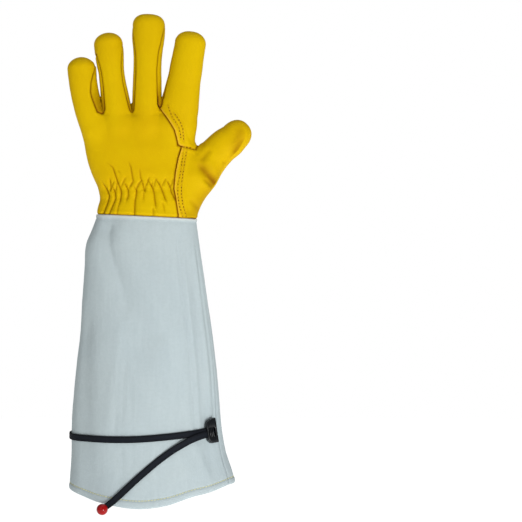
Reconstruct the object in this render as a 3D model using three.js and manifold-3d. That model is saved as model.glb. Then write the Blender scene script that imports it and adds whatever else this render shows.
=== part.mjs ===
// A left-hand rose pruning gauntlet, as worn: a five-finger leather glove with a keystone thumb, shirred on the
// back of the wrist, sewn to a long flared two-panel cuff that closes with a tape, a buckle and a pull ball.
// Millimetres, +Z towards the fingertips, -Y out of the back of the hand, +X on the thumb's side.
// The origin is the middle of the wrist, level with the seam between glove and cuff.
import * as THREE from "three";
import { mergeVertices } from "three/addons/utils/BufferGeometryUtils.js";
import Module from "manifold-3d";

const wasm = await Module();
wasm.setup();

// Walls and gaps
const GLOVE_LEATHER = 1.3; // grain leather of the glove
const CUFF_LEATHER = 1.5; // split leather of the cuff
const SEAM_GAP = 0.3; // between two pieces that are sewn together
const REST_GAP = 0.3; // between a piece and what it lies on

// Hand
const WRIST_WIDTH = 97;
const WRIST_DEPTH = 50;
const WRIST_SLANT = 4.6; // how far the wrist seam falls from the little finger's side to the thumb's
const WRIST_DIP = 1.4;
const PALM_LENGTH = 95; // from the wrist seam to the finger roots
const PALM_WIDTH = 112;
const PALM_DEPTH = 37;
const SQUARENESS = 2.2; // exponent of the rounded sections: 2 is an ellipse
const FINGER_CURL = 9; // how far the middle fingertip leans towards the palm
const FOURCHETTE_WIDTH = 18;
const GATHER_DEPTH = 1.6;
const GATHER_PLEATS = 8;
// Where the gathers are, as shares of the wrist's width and the palm's length
const GATHERS = { left: -0.475, right: 0.325, elastic: 0.247, top: 0.56 };

// Fingers: length from the finger roots to the tip, width and depth of the widest section.
// The three places of the centre line are shares of the palm's width. Base and waist are shares of the finger's width
// at its root and where it is narrowest, below the swelling of its tip.
const FINGERS = [
  { name: "little", length: 56.8, width: 27.2, depth: 23,
    root: -0.396, mid: -0.529, tip: -0.569, base: 1, waist: 0.98, blunt: 1.85 },
  { name: "ring", length: 80.2, width: 27.4, depth: 24.4,
    root: -0.207, mid: -0.2955, tip: -0.348, base: 1.06, waist: 0.9, blunt: 2 },
  { name: "middle", length: 98.4, width: 31, depth: 25.6,
    root: -0.006, mid: -0.002, tip: 0.011, base: 0.93, waist: 0.87, blunt: 2.6 },
  { name: "index", length: 82, width: 29.8, depth: 25,
    root: 0.217, mid: 0.308, tip: 0.3826, base: 1.3, waist: 1.05, blunt: 2.1 },
];
const FINGER_ROOT = 0.75; // where the fingers start, as a share of the palm's length
// Along a finger: where its root ends, its waist and its full width
const FINGER_WAIST = { from: 0.2, at: 0.62, to: 0.84 };
const FINGER_MID = 0.52; // where a centre line's middle point lies, as a share of the way from root to tip
const ROOT_DEPTH = 1.24; // how much deeper a finger is at its root, as a share of its depth
const TIP_ROUND = 0.4; // length of a fingertip's rounding, as a share of the finger's width

// Thumb: a cone that leaves the wrist at a slant. Offsets and half widths are shares of its width.
const THUMB_LENGTH = 106.7;
const THUMB_WIDTH = 34;
const THUMB_DEPTH = 31;
const THUMB_SPREAD = 41; // degrees from the fingers' direction
const THUMB_FORWARD = 11; // how far its tip leans towards the palm
const THUMB_ROOT = { across: 0.232, up: 0.084 }; // shares of the palm's width and length
const THUMB_SECTIONS = [
  { at: 0, offset: 0.06, half: 0.44 },
  { at: 0.21, offset: -0.03, half: 0.525 },
  { at: 0.39, offset: -0.075, half: 0.54 },
  { at: 0.518, offset: -0.125, half: 0.503 },
  { at: 0.65, offset: -0.115, half: 0.47 },
  { at: 0.755, offset: -0.07, half: 0.467 },
  { at: 0.84, offset: -0.03, half: 0.425 },
];

// Palm sections: at is a share of the palm's length, grown goes from the wrist's sizes at 0 to the palm's at 1,
// and left, right and depth are shares of the width and depth there.
const PALM_SECTIONS = [
  { at: 0, grown: 0, left: 0.5, right: 0.487, depth: 0.5 },
  { at: 0.075, grown: 0, left: 0.488, right: 0.5, depth: 0.48 },
  { at: 0.16, grown: 0, left: 0.465, right: 0.51, depth: 0.456 },
  { at: 0.27, grown: 0.1, left: 0.478, right: 0.497, depth: 0.452 },
  { at: 0.34, grown: 0.25, left: 0.496, right: 0.479, depth: 0.465 },
  { at: 0.42, grown: 0.4, left: 0.516, right: 0.458, depth: 0.48 },
  { at: 0.53, grown: 0.6, left: 0.536, right: 0.434, depth: 0.48 },
  { at: 0.68, grown: 0.8, left: 0.548, right: 0.415, depth: 0.46 },
  { at: 0.82, grown: 1, left: 0.5425, right: 0.404, depth: 0.42 },
  { at: 0.92, grown: 1, left: 0.541, right: 0.41, depth: 0.37 },
  { at: 0.98, grown: 1, left: 0.535, right: 0.395, depth: 0.31 },
  { at: 1.02, grown: 1, left: 0.51, right: 0.36, depth: 0.2 },
];

// Where the leather panels meet, as shares of the palm's width and length
const LAPPED_SEAM = [
  { across: 0.107, up: 1.085 },
  { across: 0.168, up: 0.985 },
  { across: 0.21, up: 0.91 },
  { across: 0.239, up: 0.852 },
  { across: 0.256, up: 0.78 },
  { across: 0.27, up: 0.7 },
];
const THUMB_SEAM_BACK = [
  { across: 0.3, up: 0.685 },
  { across: 0.272, up: 0.57 },
  { across: 0.247, up: 0.41 },
  { across: 0.237, up: 0.26 },
  { across: 0.252, up: 0.17 },
  { across: 0.284, up: -0.03 },
];
const THUMB_SEAM_PALM = [
  { across: 0.415, up: 0.66 },
  { across: 0.385, up: 0.48 },
  { across: 0.32, up: 0.26 },
  { across: 0.25, up: -0.03 },
];

// Cuff
const CUFF_LENGTH = 275; // from the wrist seam to the lowest point of the hem
const MOUTH_WIDTH = 160;
const MOUTH_DEPTH = 104;
const HEM_WIDTH = 8.5;
const HEM_LEATHER = 1.1; // what the turned hem adds to the wall
// Cuff sections: at and grown as on the palm, from the wrist to the mouth
const CUFF_SECTIONS = [
  { at: 0, left: 0.5, right: 0.487 },
  { at: 0.022, left: 0.508, right: 0.481 },
  { at: 0.05, left: 0.527, right: 0.481 },
  { at: 0.105, left: 0.566, right: 0.484 },
  { at: 0.187, left: 0.553, right: 0.49 },
  { at: 0.3, left: 0.538, right: 0.497 },
  { at: 0.41, left: 0.524, right: 0.506 },
  { at: 0.516, left: 0.524, right: 0.508 },
  { at: 0.627, left: 0.518, right: 0.502 },
  { at: 0.738, left: 0.506, right: 0.495 },
  { at: 0.824, left: 0.49, right: 0.505 },
  { at: 0.896, left: 0.482, right: 0.532 },
  { at: 1, left: 0.475, right: 0.562 },
];
// The hem's height across the cuff, from the little finger's side at 0 to the thumb's side at 1
const HEM_CURVE = [
  { across: 0, down: 0.951 },
  { across: 0.08, down: 0.963 },
  { across: 0.2, down: 0.982 },
  { across: 0.42, down: 1 },
  { across: 0.6, down: 0.99 },
  { across: 0.76, down: 0.963 },
  { across: 0.88, down: 0.949 },
  { across: 1, down: 0.93 },
];
// Side seams: angles round the cuff at the wrist and at the hem. 180 is the little finger's side, 0 the thumb's,
// -90 the back of the arm.
const LITTLE_SIDE_SEAM = { wrist: 145, hem: 157 };
const THUMB_SIDE_SEAM = { wrist: -8, hem: -21 };
// Soft folds: angle and height of both ends, half width in degrees, and height in millimetres, dents negative
const CUFF_FOLDS = [
  { fromAngle: -140, fromDown: 0.0, toAngle: -88, toDown: 0.42, spread: 13, height: -2.6 },
  { fromAngle: -118, fromDown: 0.0, toAngle: -66, toDown: 0.4, spread: 12, height: 1.6 },
  { fromAngle: -34, fromDown: 0.28, toAngle: -38, toDown: 0.82, spread: 8, height: -2.2 },
  { fromAngle: -150, fromDown: 0.42, toAngle: -138, toDown: 0.9, spread: 12, height: -2 },
  { fromAngle: 60, fromDown: 0.02, toAngle: 96, toDown: 0.5, spread: 14, height: -2.4 },
  { fromAngle: 112, fromDown: 0.3, toAngle: 104, toDown: 0.9, spread: 13, height: -2 },
];

// Tape, buckle and ball
const TAPE_WIDTH = 6.35;
const TAPE_THICKNESS = 1.2;
const BUCKLE_ANGLE = -31; // its middle, round the cuff
const BUCKLE_DOWN = 0.744; // and along it
const BUCKLE_TILT = 6; // degrees
const BUCKLE_WIDTH = 10.6;
const BUCKLE_HEIGHT = 23.6;
const BUCKLE_CORNER = 4.5;
const BUCKLE_WALL = 1;
const BUCKLE_END_WALL = 2; // on the thumb's side, where it is sewn to the cuff
const BUCKLE_LIP = 1.6; // the front plate's edge before its first opening
const BUCKLE_RIBS = 3;
const BUCKLE_RIB_WIDTH = 0.8;
const TAPE_CLEARANCE = 0.3; // round the two layers of tape in the buckle's slot
const LAYER_OFFSET = 2.9; // how far the free end lies below the held tape in the slot
const BALL_DIAMETER = 10.6;
// The tape's height along its way, and how far it stands off the cuff
const TAPE_ROUTE = [
  { angle: 157, down: 0.763, lift: 0 },
  { angle: 172, down: 0.765, lift: 0.1 },
  { angle: 186, down: 0.766, lift: 0.3 },
  { angle: 204, down: 0.768, lift: 0.1 },
  { angle: 230, down: 0.768, lift: 0 },
  { angle: 262, down: 0.766, lift: 0 },
  { angle: 290, down: 0.757, lift: 0 },
  { angle: 306, down: 0.751, lift: 0.5 },
];
// The free end's way from the buckle to the ball: across and up in millimetres, and how far it stands off the cuff
const TAIL_ROUTE = [
  { x: 46, z: -210.2, lift: 2.9 },
  { x: 40, z: -212.8, lift: 2.4 },
  { x: 33.2, z: -216.6, lift: 1.9 },
  { x: 26, z: -221, lift: 1 },
  { x: 13.6, z: -230, lift: 0.4 },
  { x: 0, z: -241.4, lift: 0.4 },
  { x: -11, z: -251.4, lift: 0.6 },
  { x: -21.6, z: -261.6, lift: 1 },
  { x: -31, z: -270.2, lift: 1.7 },
];
const BALL_PLACE = { x: -35.8, z: -275, lift: 2.6 };

// Evenness of the facets
const BACK_STEPS = 42; // round the back of the hand, fine enough for the gathers
const PALM_STEPS = 13;
const FINGER_STEPS = 14;
const THUMB_STEPS = 14;
const CUFF_STEPS = 18; // round each panel of the cuff
const HELD_TAPE_STEPS = 20;
const FREE_TAPE_STEPS = 28;
const FLATNESS = 0.04; // how far a vertex may lie off its neighbours' plane and still be left out

// General helpers
const lerp = (a, b, t) => a + (b - a) * t;
const clamp = (t) => Math.min(1, Math.max(0, t));
const ease = (t) => clamp(t) * clamp(t) * (3 - 2 * clamp(t));
const radians = (degrees) => (degrees * Math.PI) / 180;
const vector = (x, y, z) => new THREE.Vector3(x, y, z);

// A smooth value from a table: a cubic through its rows, held level past both ends
function along(table, key, at, name) {
  const last = table.length - 1;
  const place = Math.min(table[last][key], Math.max(table[0][key], at));
  let row = 0;
  while (row < last - 1 && place > table[row + 1][key]) row += 1;
  const span = table[row + 1][key] - table[row][key];
  const slope = (i) => {
    const before = table[Math.max(0, i - 1)];
    const after = table[Math.min(last, i + 1)];
    return (after[name] - before[name]) / (after[key] - before[key]);
  };
  const t = (place - table[row][key]) / span;
  const rise = 3 * t * t - 2 * t * t * t;
  const start = (t * t * t - 2 * t * t + t) * span * slope(row);
  const end = (t * t * t - t * t) * span * slope(row + 1);
  return lerp(table[row][name], table[row + 1][name], rise) + start + end;
}

// A closed solid from its corners and triangles, turned faces out if need be
function solidOf(corners, triangles) {
  let volume = 0;
  for (let i = 0; i < triangles.length; i += 3) {
    const [a, b, c] = [corners[triangles[i]], corners[triangles[i + 1]], corners[triangles[i + 2]]];
    volume += a.dot(vector(0, 0, 0).crossVectors(b, c));
  }
  const faces = volume > 0 ? triangles : triangles.slice().reverse();
  const vertProperties = new Float32Array(corners.flatMap((p) => [p.x, p.y, p.z]));
  return new wasm.Manifold(new wasm.Mesh({ numProp: 3, vertProperties, triVerts: new Uint32Array(faces) }));
}

// A solid through rings of equal count, closed at both ends by a fan from a pole
function loft(rings, firstPole, lastPole) {
  const count = rings[0].length;
  const corners = rings.flat();
  const triangles = [];
  for (let i = 0; i < rings.length - 1; i++) {
    for (let j = 0; j < count; j++) {
      const k = (j + 1) % count;
      triangles.push(i * count + j, i * count + k, (i + 1) * count + k);
      triangles.push(i * count + j, (i + 1) * count + k, (i + 1) * count + j);
    }
  }
  corners.push(firstPole, lastPole);
  const top = (rings.length - 1) * count;
  for (let j = 0; j < count; j++) {
    const k = (j + 1) % count;
    triangles.push(corners.length - 2, k, j);
    triangles.push(corners.length - 1, top + j, top + k);
  }
  return solidOf(corners, triangles);
}

// A wall between two grids of equal size, outer and inner, closed round its rim
function wall(outer, inner) {
  const rows = outer.length;
  const columns = outer[0].length;
  const corners = [...outer.flat(), ...inner.flat()];
  const half = rows * columns;
  const triangles = [];
  const quad = (a, b, c, d) => triangles.push(a, b, c, a, c, d);
  for (let i = 0; i < rows - 1; i++) {
    for (let j = 0; j < columns - 1; j++) {
      const a = i * columns + j;
      quad(a, a + 1, a + columns + 1, a + columns);
      quad(half + a, half + a + columns, half + a + columns + 1, half + a + 1);
    }
  }
  for (let i = 0; i < rows - 1; i++) {
    const a = i * columns;
    const b = a + columns - 1;
    quad(a, a + columns, half + a + columns, half + a);
    quad(b + columns, b, half + b, half + b + columns);
  }
  for (let j = 0; j < columns - 1; j++) {
    const b = (rows - 1) * columns + j;
    quad(j + 1, j, half + j, half + j + 1);
    quad(b, b + 1, half + b + 1, half + b);
  }
  return solidOf(corners, triangles);
}

function solidFrom(geometry) {
  geometry.deleteAttribute("normal");
  geometry.deleteAttribute("uv");
  const merged = mergeVertices(geometry, 1e-4);
  const vertProperties = new Float32Array(merged.attributes.position.array);
  const triVerts = new Uint32Array(merged.index.array);
  return new wasm.Manifold(new wasm.Mesh({ numProp: 3, vertProperties, triVerts }));
}

const REACH = 400; // longer than the whole glove, for solids that only cut

// A cutting prism over an outline seen from the back, [x, z] points
function frontPrism(points) {
  const shape = new THREE.Shape(points.map(([x, z]) => new THREE.Vector2(x, z)));
  const geometry = new THREE.ExtrudeGeometry(shape, { depth: REACH, bevelEnabled: false });
  geometry.translate(0, 0, -REACH / 2);
  geometry.rotateX(Math.PI / 2);
  return solidFrom(geometry);
}

// A cutting prism over an outline seen from the side, [y, z] points
function sidePrism(points) {
  const shape = new THREE.Shape(points.map(([y, z]) => new THREE.Vector2(y, z)));
  const geometry = new THREE.ExtrudeGeometry(shape, { depth: REACH, bevelEnabled: false });
  geometry.translate(0, 0, -REACH / 2);
  geometry.applyMatrix4(new THREE.Matrix4().makeBasis(vector(0, 1, 0), vector(0, 0, 1), vector(1, 0, 0)));
  return solidFrom(geometry);
}

// The same line thickened to a seam's gap
function ribbon(points, width) {
  const left = [];
  const right = [];
  points.forEach((point, i) => {
    const before = points[Math.max(0, i - 1)];
    const after = points[Math.min(points.length - 1, i + 1)];
    const [dx, dz] = [after[0] - before[0], after[1] - before[1]];
    const size = Math.hypot(dx, dz);
    left.push([point[0] - (dz / size) * (width / 2), point[1] + (dx / size) * (width / 2)]);
    right.push([point[0] + (dz / size) * (width / 2), point[1] - (dx / size) * (width / 2)]);
  });
  return [...left, ...right.reverse()];
}

// The main body of a cut piece, without slivers where two cuts meet
function mainBody(solid) {
  const bodies = solid.decompose();
  return bodies.reduce((most, body) => (body.volume() > most.volume() ? body : most));
}

const union = (parts) => parts.reduce((whole, part) => whole.add(part));

// A point of a rounded section: squareness 2 gives an ellipse
function rounded(angle, squareness) {
  const [c, s] = [Math.cos(angle), Math.sin(angle)];
  const power = 2 / squareness;
  return [Math.sign(c) * Math.abs(c) ** power, Math.sign(s) * Math.abs(s) ** power];
}

// Hand
const rootHeight = FINGER_ROOT * PALM_LENGTH;
const tallest = PALM_LENGTH + Math.max(...FINGERS.map((finger) => finger.length));
// The fingers lean towards the palm more and more with height
const curlAt = (z) => FINGER_CURL * Math.max(0, (z - rootHeight) / (tallest - rootHeight)) ** 2;
const seamHeight = (x) => -WRIST_DIP - (WRIST_SLANT * x) / WRIST_WIDTH;

// The gathers' depth on the back of the wrist
function gather(x, z) {
  const share = (x / WRIST_WIDTH - GATHERS.left) / (GATHERS.right - GATHERS.left);
  const height = z / PALM_LENGTH;
  const fade = height < GATHERS.elastic
    ? lerp(0.35, 1, ease(height / GATHERS.elastic))
    : 1 - ease((height - GATHERS.elastic) / (GATHERS.top - GATHERS.elastic));
  const side = ease(share / 0.08) * ease((1 - share) / 0.08);
  const lean = 0.28 * Math.sin(share * 9) * (height - GATHERS.elastic);
  return GATHER_DEPTH * fade * side * (0.5 * Math.cos(2 * Math.PI * GATHER_PLEATS * (share + lean * 0.3)) - 0.5);
}

function palmRing(section, z, inset) {
  const wide = lerp(WRIST_WIDTH, PALM_WIDTH, section.grown);
  const deep = lerp(WRIST_DEPTH, PALM_DEPTH, section.grown);
  const [left, right] = [wide * section.left - inset, wide * section.right - inset];
  const depth = deep * section.depth - inset;
  const angles = [];
  for (let i = 0; i < BACK_STEPS; i++) angles.push(-Math.PI + (Math.PI * i) / BACK_STEPS);
  for (let i = 0; i < PALM_STEPS; i++) angles.push((Math.PI * i) / PALM_STEPS);
  return angles.map((angle) => {
    const [c, s] = rounded(angle, SQUARENESS);
    const x = (right - left) / 2 + (c * (right + left)) / 2;
    const pleat = s < 0 ? gather(x, z) * clamp(-s * 2) : 0;
    return vector(x, s * (depth + pleat), z);
  });
}

function palmSolid(inset) {
  const rings = PALM_SECTIONS.map((section) => palmRing(section, section.at * PALM_LENGTH - inset * section.at, inset));
  const skirt = palmRing(PALM_SECTIONS[0], -8, inset);
  return loft([skirt, ...rings], vector(0, 0, -8), vector(0, 0, 1.02 * PALM_LENGTH - inset));
}

function ringAt(point, tangent, a, b, squareness, count) {
  const side = vector(tangent.z, 0, -tangent.x).normalize();
  const forward = vector(0, 0, 0).crossVectors(tangent, side);
  return Array.from({ length: count }, (_, i) => {
    const [c, s] = rounded((2 * Math.PI * i) / count, squareness);
    return point.clone().addScaledVector(side, a * c).addScaledVector(forward, b * s);
  });
}

function fingerCurve(finger) {
  const tipHeight = PALM_LENGTH + finger.length;
  const midHeight = lerp(rootHeight, tipHeight, FINGER_MID);
  return new THREE.CatmullRomCurve3([
    vector(finger.root * PALM_WIDTH, curlAt(rootHeight), rootHeight),
    vector(finger.mid * PALM_WIDTH, curlAt(midHeight), midHeight),
    vector(finger.tip * PALM_WIDTH, curlAt(tipHeight), tipHeight),
  ]);
}

// A finger's share of its full width: its base, drawn in to its waist, then swelling to 1
function fingerGrowth({ base, waist }, u) {
  const { from, at, to } = FINGER_WAIST;
  return u < at ? lerp(base, waist, ease((u - from) / (at - from))) : lerp(waist, 1, ease((u - at) / (to - at)));
}

function fingerSolid(finger, inset) {
  const curve = fingerCurve(finger);
  const length = curve.getLength();
  const round = TIP_ROUND * finger.width;
  const rings = [];
  const ring = (distance, scale) => {
    const u = Math.min(0.9999, distance / length);
    const grown = fingerGrowth(finger, u);
    const a = Math.max(0.2, finger.width * 0.5 * grown * scale - inset);
    const b = Math.max(0.2, finger.depth * 0.5 * lerp(ROOT_DEPTH, 1, clamp(u / 0.5)) * scale - inset);
    rings.push(ringAt(curve.getPointAt(u), curve.getTangentAt(u), a, b, SQUARENESS, FINGER_STEPS));
  };
  for (const share of [0, 0.3, 0.5, 0.72, 0.86]) ring(share * (length - round), 1);
  for (const degrees of [0, 30, 54, 76]) {
    const rise = Math.sin(radians(degrees));
    ring(length - round + rise * (round - inset), (1 - rise ** finger.blunt) ** (1 / finger.blunt));
  }
  return loft(rings, curve.getPointAt(0), curve.getPointAt(1 - inset / length));
}

function thumbSolid(inset) {
  const spread = radians(THUMB_SPREAD);
  const tangent = vector(Math.sin(spread), THUMB_FORWARD / THUMB_LENGTH, Math.cos(spread)).normalize();
  const side = vector(tangent.z, 0, -tangent.x).normalize();
  const base = vector(THUMB_ROOT.across * PALM_WIDTH, 0, THUMB_ROOT.up * PALM_LENGTH);
  const centre = (at, offset) =>
    base.clone().addScaledVector(tangent, at * THUMB_LENGTH).addScaledVector(side, offset * THUMB_WIDTH);
  const deep = THUMB_DEPTH / THUMB_WIDTH;
  const last = THUMB_SECTIONS[THUMB_SECTIONS.length - 1];
  const rings = THUMB_SECTIONS.map((section) => {
    const a = section.half * THUMB_WIDTH;
    return ringAt(centre(section.at, section.offset), tangent, a - inset, a * deep - inset, SQUARENESS, THUMB_STEPS);
  });
  for (const degrees of [28, 50, 68, 82]) {
    const rise = Math.sin(radians(degrees));
    const a = last.half * THUMB_WIDTH * (1 - rise ** 2.2) ** (1 / 2.2);
    const at = lerp(last.at, 1 - inset / THUMB_LENGTH, rise);
    rings.push(ringAt(centre(at, last.offset), tangent, Math.max(0.2, a - inset), Math.max(0.2, a * deep - inset),
      SQUARENESS, THUMB_STEPS));
  }
  return loft(rings, centre(0, 0), centre(1 - inset / THUMB_LENGTH, last.offset));
}

const handSolid = (inset) => union([palmSolid(inset), ...FINGERS.map((f) => fingerSolid(f, inset)), thumbSolid(inset)]);

const belowWrist = frontPrism([
  [-REACH / 2, seamHeight(-REACH / 2)],
  [REACH / 2, seamHeight(REACH / 2)],
  [REACH / 2, -REACH / 2],
  [-REACH / 2, -REACH / 2],
]);
const innerSkirt = loft([
  palmRing(PALM_SECTIONS[0], -20, GLOVE_LEATHER),
  palmRing(PALM_SECTIONS[0], -7, GLOVE_LEATHER),
], vector(0, 0, -20), vector(0, 0, -7));
const shell = handSolid(0).subtract(handSolid(GLOVE_LEATHER).add(innerSkirt)).subtract(belowWrist);

// Seams between the panels
const place = ({ across, up }) => [across * PALM_WIDTH, up * PALM_LENGTH];
const CURL_STEPS = 8;
const middleLine = [[0, -40]];
for (let i = 0; i <= CURL_STEPS; i++) {
  const z = lerp(rootHeight, tallest + 12, i / CURL_STEPS);
  middleLine.push([curlAt(z), z]);
}
const shifted = (by) => middleLine.map(([y, z]) => [y + by, z]);
const backHalfTo = (by) => sidePrism([...shifted(by), [-REACH / 4, tallest + 12], [-REACH / 4, -40]]);
const backHalf = backHalfTo(0);
const palmHalf = sidePrism([...middleLine, [REACH / 4, tallest + 12], [REACH / 4, -40]]);

const NOTCH = [
  { across: 0.415, up: 0.66 },
  { across: 0.5, up: 0.9 },
  { across: 0.53, up: 1.4 },
];
const thumbSideCorner = [[REACH / 3, 1.4 * PALM_LENGTH], [REACH / 3, -0.03 * PALM_LENGTH]];
const thumbBackLine = THUMB_SEAM_BACK.map(place);
const thumbPalmLine = THUMB_SEAM_PALM.map(place);
const notchLine = NOTCH.map(place);
const thumbRegion = frontPrism([...thumbBackLine.slice().reverse(), ...notchLine, ...thumbSideCorner])
  .intersect(backHalfTo(0.1))
  .add(frontPrism([...thumbPalmLine.slice().reverse(), ...notchLine.slice(1), ...thumbSideCorner]).intersect(palmHalf));

// Lines up between neighbouring fingers, from each crotch
const fingerTop = (finger) => [finger.tip * PALM_WIDTH, PALM_LENGTH + finger.length];
const CROTCHES = [
  { across: -0.383, up: 1.041 },
  { across: -0.133, up: 0.99 },
  { across: 0.105, up: 1.079 },
];
const lappedLine = LAPPED_SEAM.map(place);
const indexEdge = [lappedLine[0], [0.133 * PALM_WIDTH, 1.28 * PALM_LENGTH], [0.185 * PALM_WIDTH, 1.7 * PALM_LENGTH],
  [0.21 * PALM_WIDTH, 2.3 * PALM_LENGTH]];
const indexRegion = frontPrism([
  ...indexEdge.slice().reverse(),
  ...lappedLine.slice(1),
  ...thumbBackLine.slice(0, 1),
  ...notchLine,
  [0.6 * PALM_WIDTH, 2.3 * PALM_LENGTH],
]);
const backOnly = backHalf.subtract(indexRegion);

// A fourchette lies between two fingers' centre lines, round their crotch and up to a point on each
function fourchette(left, right, crotch) {
  const low = crotch.up * PALM_LENGTH - 5.5;
  const high = PALM_LENGTH + Math.min(left.length, right.length) - 9;
  const line = (finger) => fingerCurve(finger).getPoints(8).filter((p) => p.z > low).map((p) => [p.x, p.z]);
  const leftLine = line(left);
  const rightLine = line(right);
  const between = frontPrism([
    [crotch.across * PALM_WIDTH - 5, low],
    ...leftLine,
    ...rightLine.reverse(),
    [crotch.across * PALM_WIDTH + 5, low],
  ]);
  const edge = (side, grow) => [0, 0.12, 0.5, 0.8, 1].map((t) => {
    const z = lerp(low - (side ? 0 : 0), high, t);
    const half = (FOURCHETTE_WIDTH / 2) * [0.35, 1, 0.86, 0.6, 0.04][[0, 0.12, 0.5, 0.8, 1].indexOf(t)];
    return [curlAt(z) + side * (half + grow), z];
  });
  const band = (grow) => sidePrism([...edge(-1, grow), ...edge(1, grow).reverse()]);
  return { piece: between.intersect(band(-SEAM_GAP / 2)), room: between.intersect(band(SEAM_GAP / 2)) };
}
const [little, ring, middle, index] = FINGERS;
const fourchettes = [
  { name: "fourchette_little_ring", ...fourchette(little, ring, CROTCHES[0]) },
  { name: "fourchette_ring_middle", ...fourchette(ring, middle, CROTCHES[1]) },
  { name: "fourchette_middle_index", ...fourchette(middle, index, CROTCHES[2]) },
];
const fourchetteRoom = union(fourchettes.map((f) => f.room));

const leftOfIndex = frontPrism([[-REACH / 3, -40], [-0.2 * PALM_WIDTH, -40], [-0.1 * PALM_WIDTH, PALM_LENGTH],
  ...indexEdge.slice(1), [-REACH / 3, 2.3 * PALM_LENGTH]]);
const seamGaps = union([
  frontPrism(ribbon([notchLine[1], notchLine[0], ...thumbBackLine], SEAM_GAP)).intersect(backHalf),
  frontPrism(ribbon([notchLine[1], ...thumbPalmLine], SEAM_GAP)).intersect(palmHalf),
  frontPrism(ribbon([...lappedLine, thumbBackLine[0]], SEAM_GAP)).intersect(backHalf),
  sidePrism(ribbon(middleLine, SEAM_GAP)).intersect(leftOfIndex),
]);
const sewn = shell.subtract(seamGaps).subtract(fourchetteRoom);
const thumbPanel = sewn.intersect(thumbRegion);
const palmPanel = sewn.subtract(thumbRegion).subtract(backOnly);
const backPanel = sewn.subtract(thumbRegion).intersect(backOnly);

// Cuff
const hemAt = (x) => along(HEM_CURVE, "across", clamp(x / MOUTH_WIDTH + 0.475), "down");

function cuffPoint(angle, down, lift) {
  const section = { left: along(CUFF_SECTIONS, "at", down, "left"), right: along(CUFF_SECTIONS, "at", down, "right") };
  const wide = lerp(WRIST_WIDTH, MOUTH_WIDTH, down);
  const deep = lerp(WRIST_DEPTH, MOUTH_DEPTH, down);
  const [c, s] = rounded(radians(angle), lerp(SQUARENESS, 2, clamp(down * 2)));
  const half = ((section.left + section.right) * wide) / 2;
  const centre = ((section.right - section.left) * wide) / 2;
  const out = vector(c / half, s / (deep / 2), 0).normalize();
  let height = lift;
  for (const fold of CUFF_FOLDS) {
    const t = clamp((down - fold.fromDown) / (fold.toDown - fold.fromDown));
    const middle = lerp(fold.fromAngle, fold.toAngle, t);
    const away = (((angle - middle) % 360) + 540) % 360 - 180;
    const past = Math.max(0, fold.fromDown - down, down - fold.toDown);
    height += fold.height * Math.exp(-((away / fold.spread) ** 2) - (past / 0.09) ** 2) * ease(down / 0.06);
  }
  return vector(centre + half * c, (deep / 2) * s, -down * CUFF_LENGTH).addScaledVector(out, height);
}

function cuffNormal(angle, down) {
  const step = 0.4;
  const round = cuffPoint(angle + step, down, 0).sub(cuffPoint(angle - step, down, 0));
  const fall = cuffPoint(angle, down + 0.004, 0).sub(cuffPoint(angle, down - 0.004, 0));
  return fall.cross(round).normalize();
}

// Heights down a panel, as shares, with a close pair of rows where the hem is turned in
const CUFF_ROWS = [0, 0.035, 0.08, 0.14, 0.21, 0.29, 0.38, 0.47, 0.56, 0.65, 0.73, 0.8, 0.87, 0.92];

function cuffPanel(fromSeam, toSeam) {
  const hemShare = 1 - HEM_WIDTH / CUFF_LENGTH;
  const rows = [...CUFF_ROWS, hemShare - 0.002, hemShare, 0.992, 1];
  const outer = [];
  const inner = [];
  for (const row of rows) {
    const outerRow = [];
    const innerRow = [];
    for (let i = 0; i <= CUFF_STEPS; i++) {
      const from = lerp(fromSeam.wrist, fromSeam.hem, row) + (SEAM_GAP / 2 / 60) * (180 / Math.PI);
      const to = lerp(toSeam.wrist, toSeam.hem, row) - (SEAM_GAP / 2 / 60) * (180 / Math.PI);
      const angle = lerp(from, to, i / CUFF_STEPS);
      const reach = cuffPoint(angle, row, 0).x;
      const down = row * lerp(1, hemAt(reach), row ** 3);
      const wallHere = row >= hemShare ? CUFF_LEATHER + HEM_LEATHER : CUFF_LEATHER;
      const edge = row === 1 ? 0.3 : 0;
      const top = vector(0, 0, (seamHeight(reach) - SEAM_GAP) * (1 - clamp(row / 0.2)) ** 2);
      const point = cuffPoint(angle, down, -edge).add(top);
      const normal = cuffNormal(angle, down);
      outerRow.push(point);
      innerRow.push(point.clone().addScaledVector(normal, -wallHere + 2 * edge));
    }
    outer.push(outerRow);
    inner.push(innerRow);
  }
  return wall(outer, inner);
}
const turn = ({ wrist, hem }, by) => ({ wrist: wrist + by, hem: hem + by });
const cuffPalm = cuffPanel(THUMB_SIDE_SEAM, LITTLE_SIDE_SEAM);
const cuffBack = cuffPanel(turn(LITTLE_SIDE_SEAM, -360), THUMB_SIDE_SEAM);

// Buckle, laid out flat: x along the tape, y up the cuff, z out of it
const slotDepth = 2 * TAPE_THICKNESS + 3 * TAPE_CLEARANCE;
const slotHeight = TAPE_WIDTH + LAYER_OFFSET + 2 * TAPE_CLEARANCE;
const buckleDepth = slotDepth + 2 * BUCKLE_WALL;
const buckleFrame = (() => {
  const out = cuffNormal(BUCKLE_ANGLE, BUCKLE_DOWN);
  const level = cuffPoint(BUCKLE_ANGLE + 1, BUCKLE_DOWN, 0).sub(cuffPoint(BUCKLE_ANGLE - 1, BUCKLE_DOWN, 0));
  const across = level.addScaledVector(out, -level.dot(out)).normalize();
  across.applyAxisAngle(out, radians(BUCKLE_TILT));
  const up = vector(0, 0, 0).crossVectors(out, across);
  const origin = cuffPoint(BUCKLE_ANGLE, BUCKLE_DOWN, REST_GAP + 0.2);
  return new THREE.Matrix4().makeBasis(across, up, out).setPosition(origin);
})();

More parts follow.
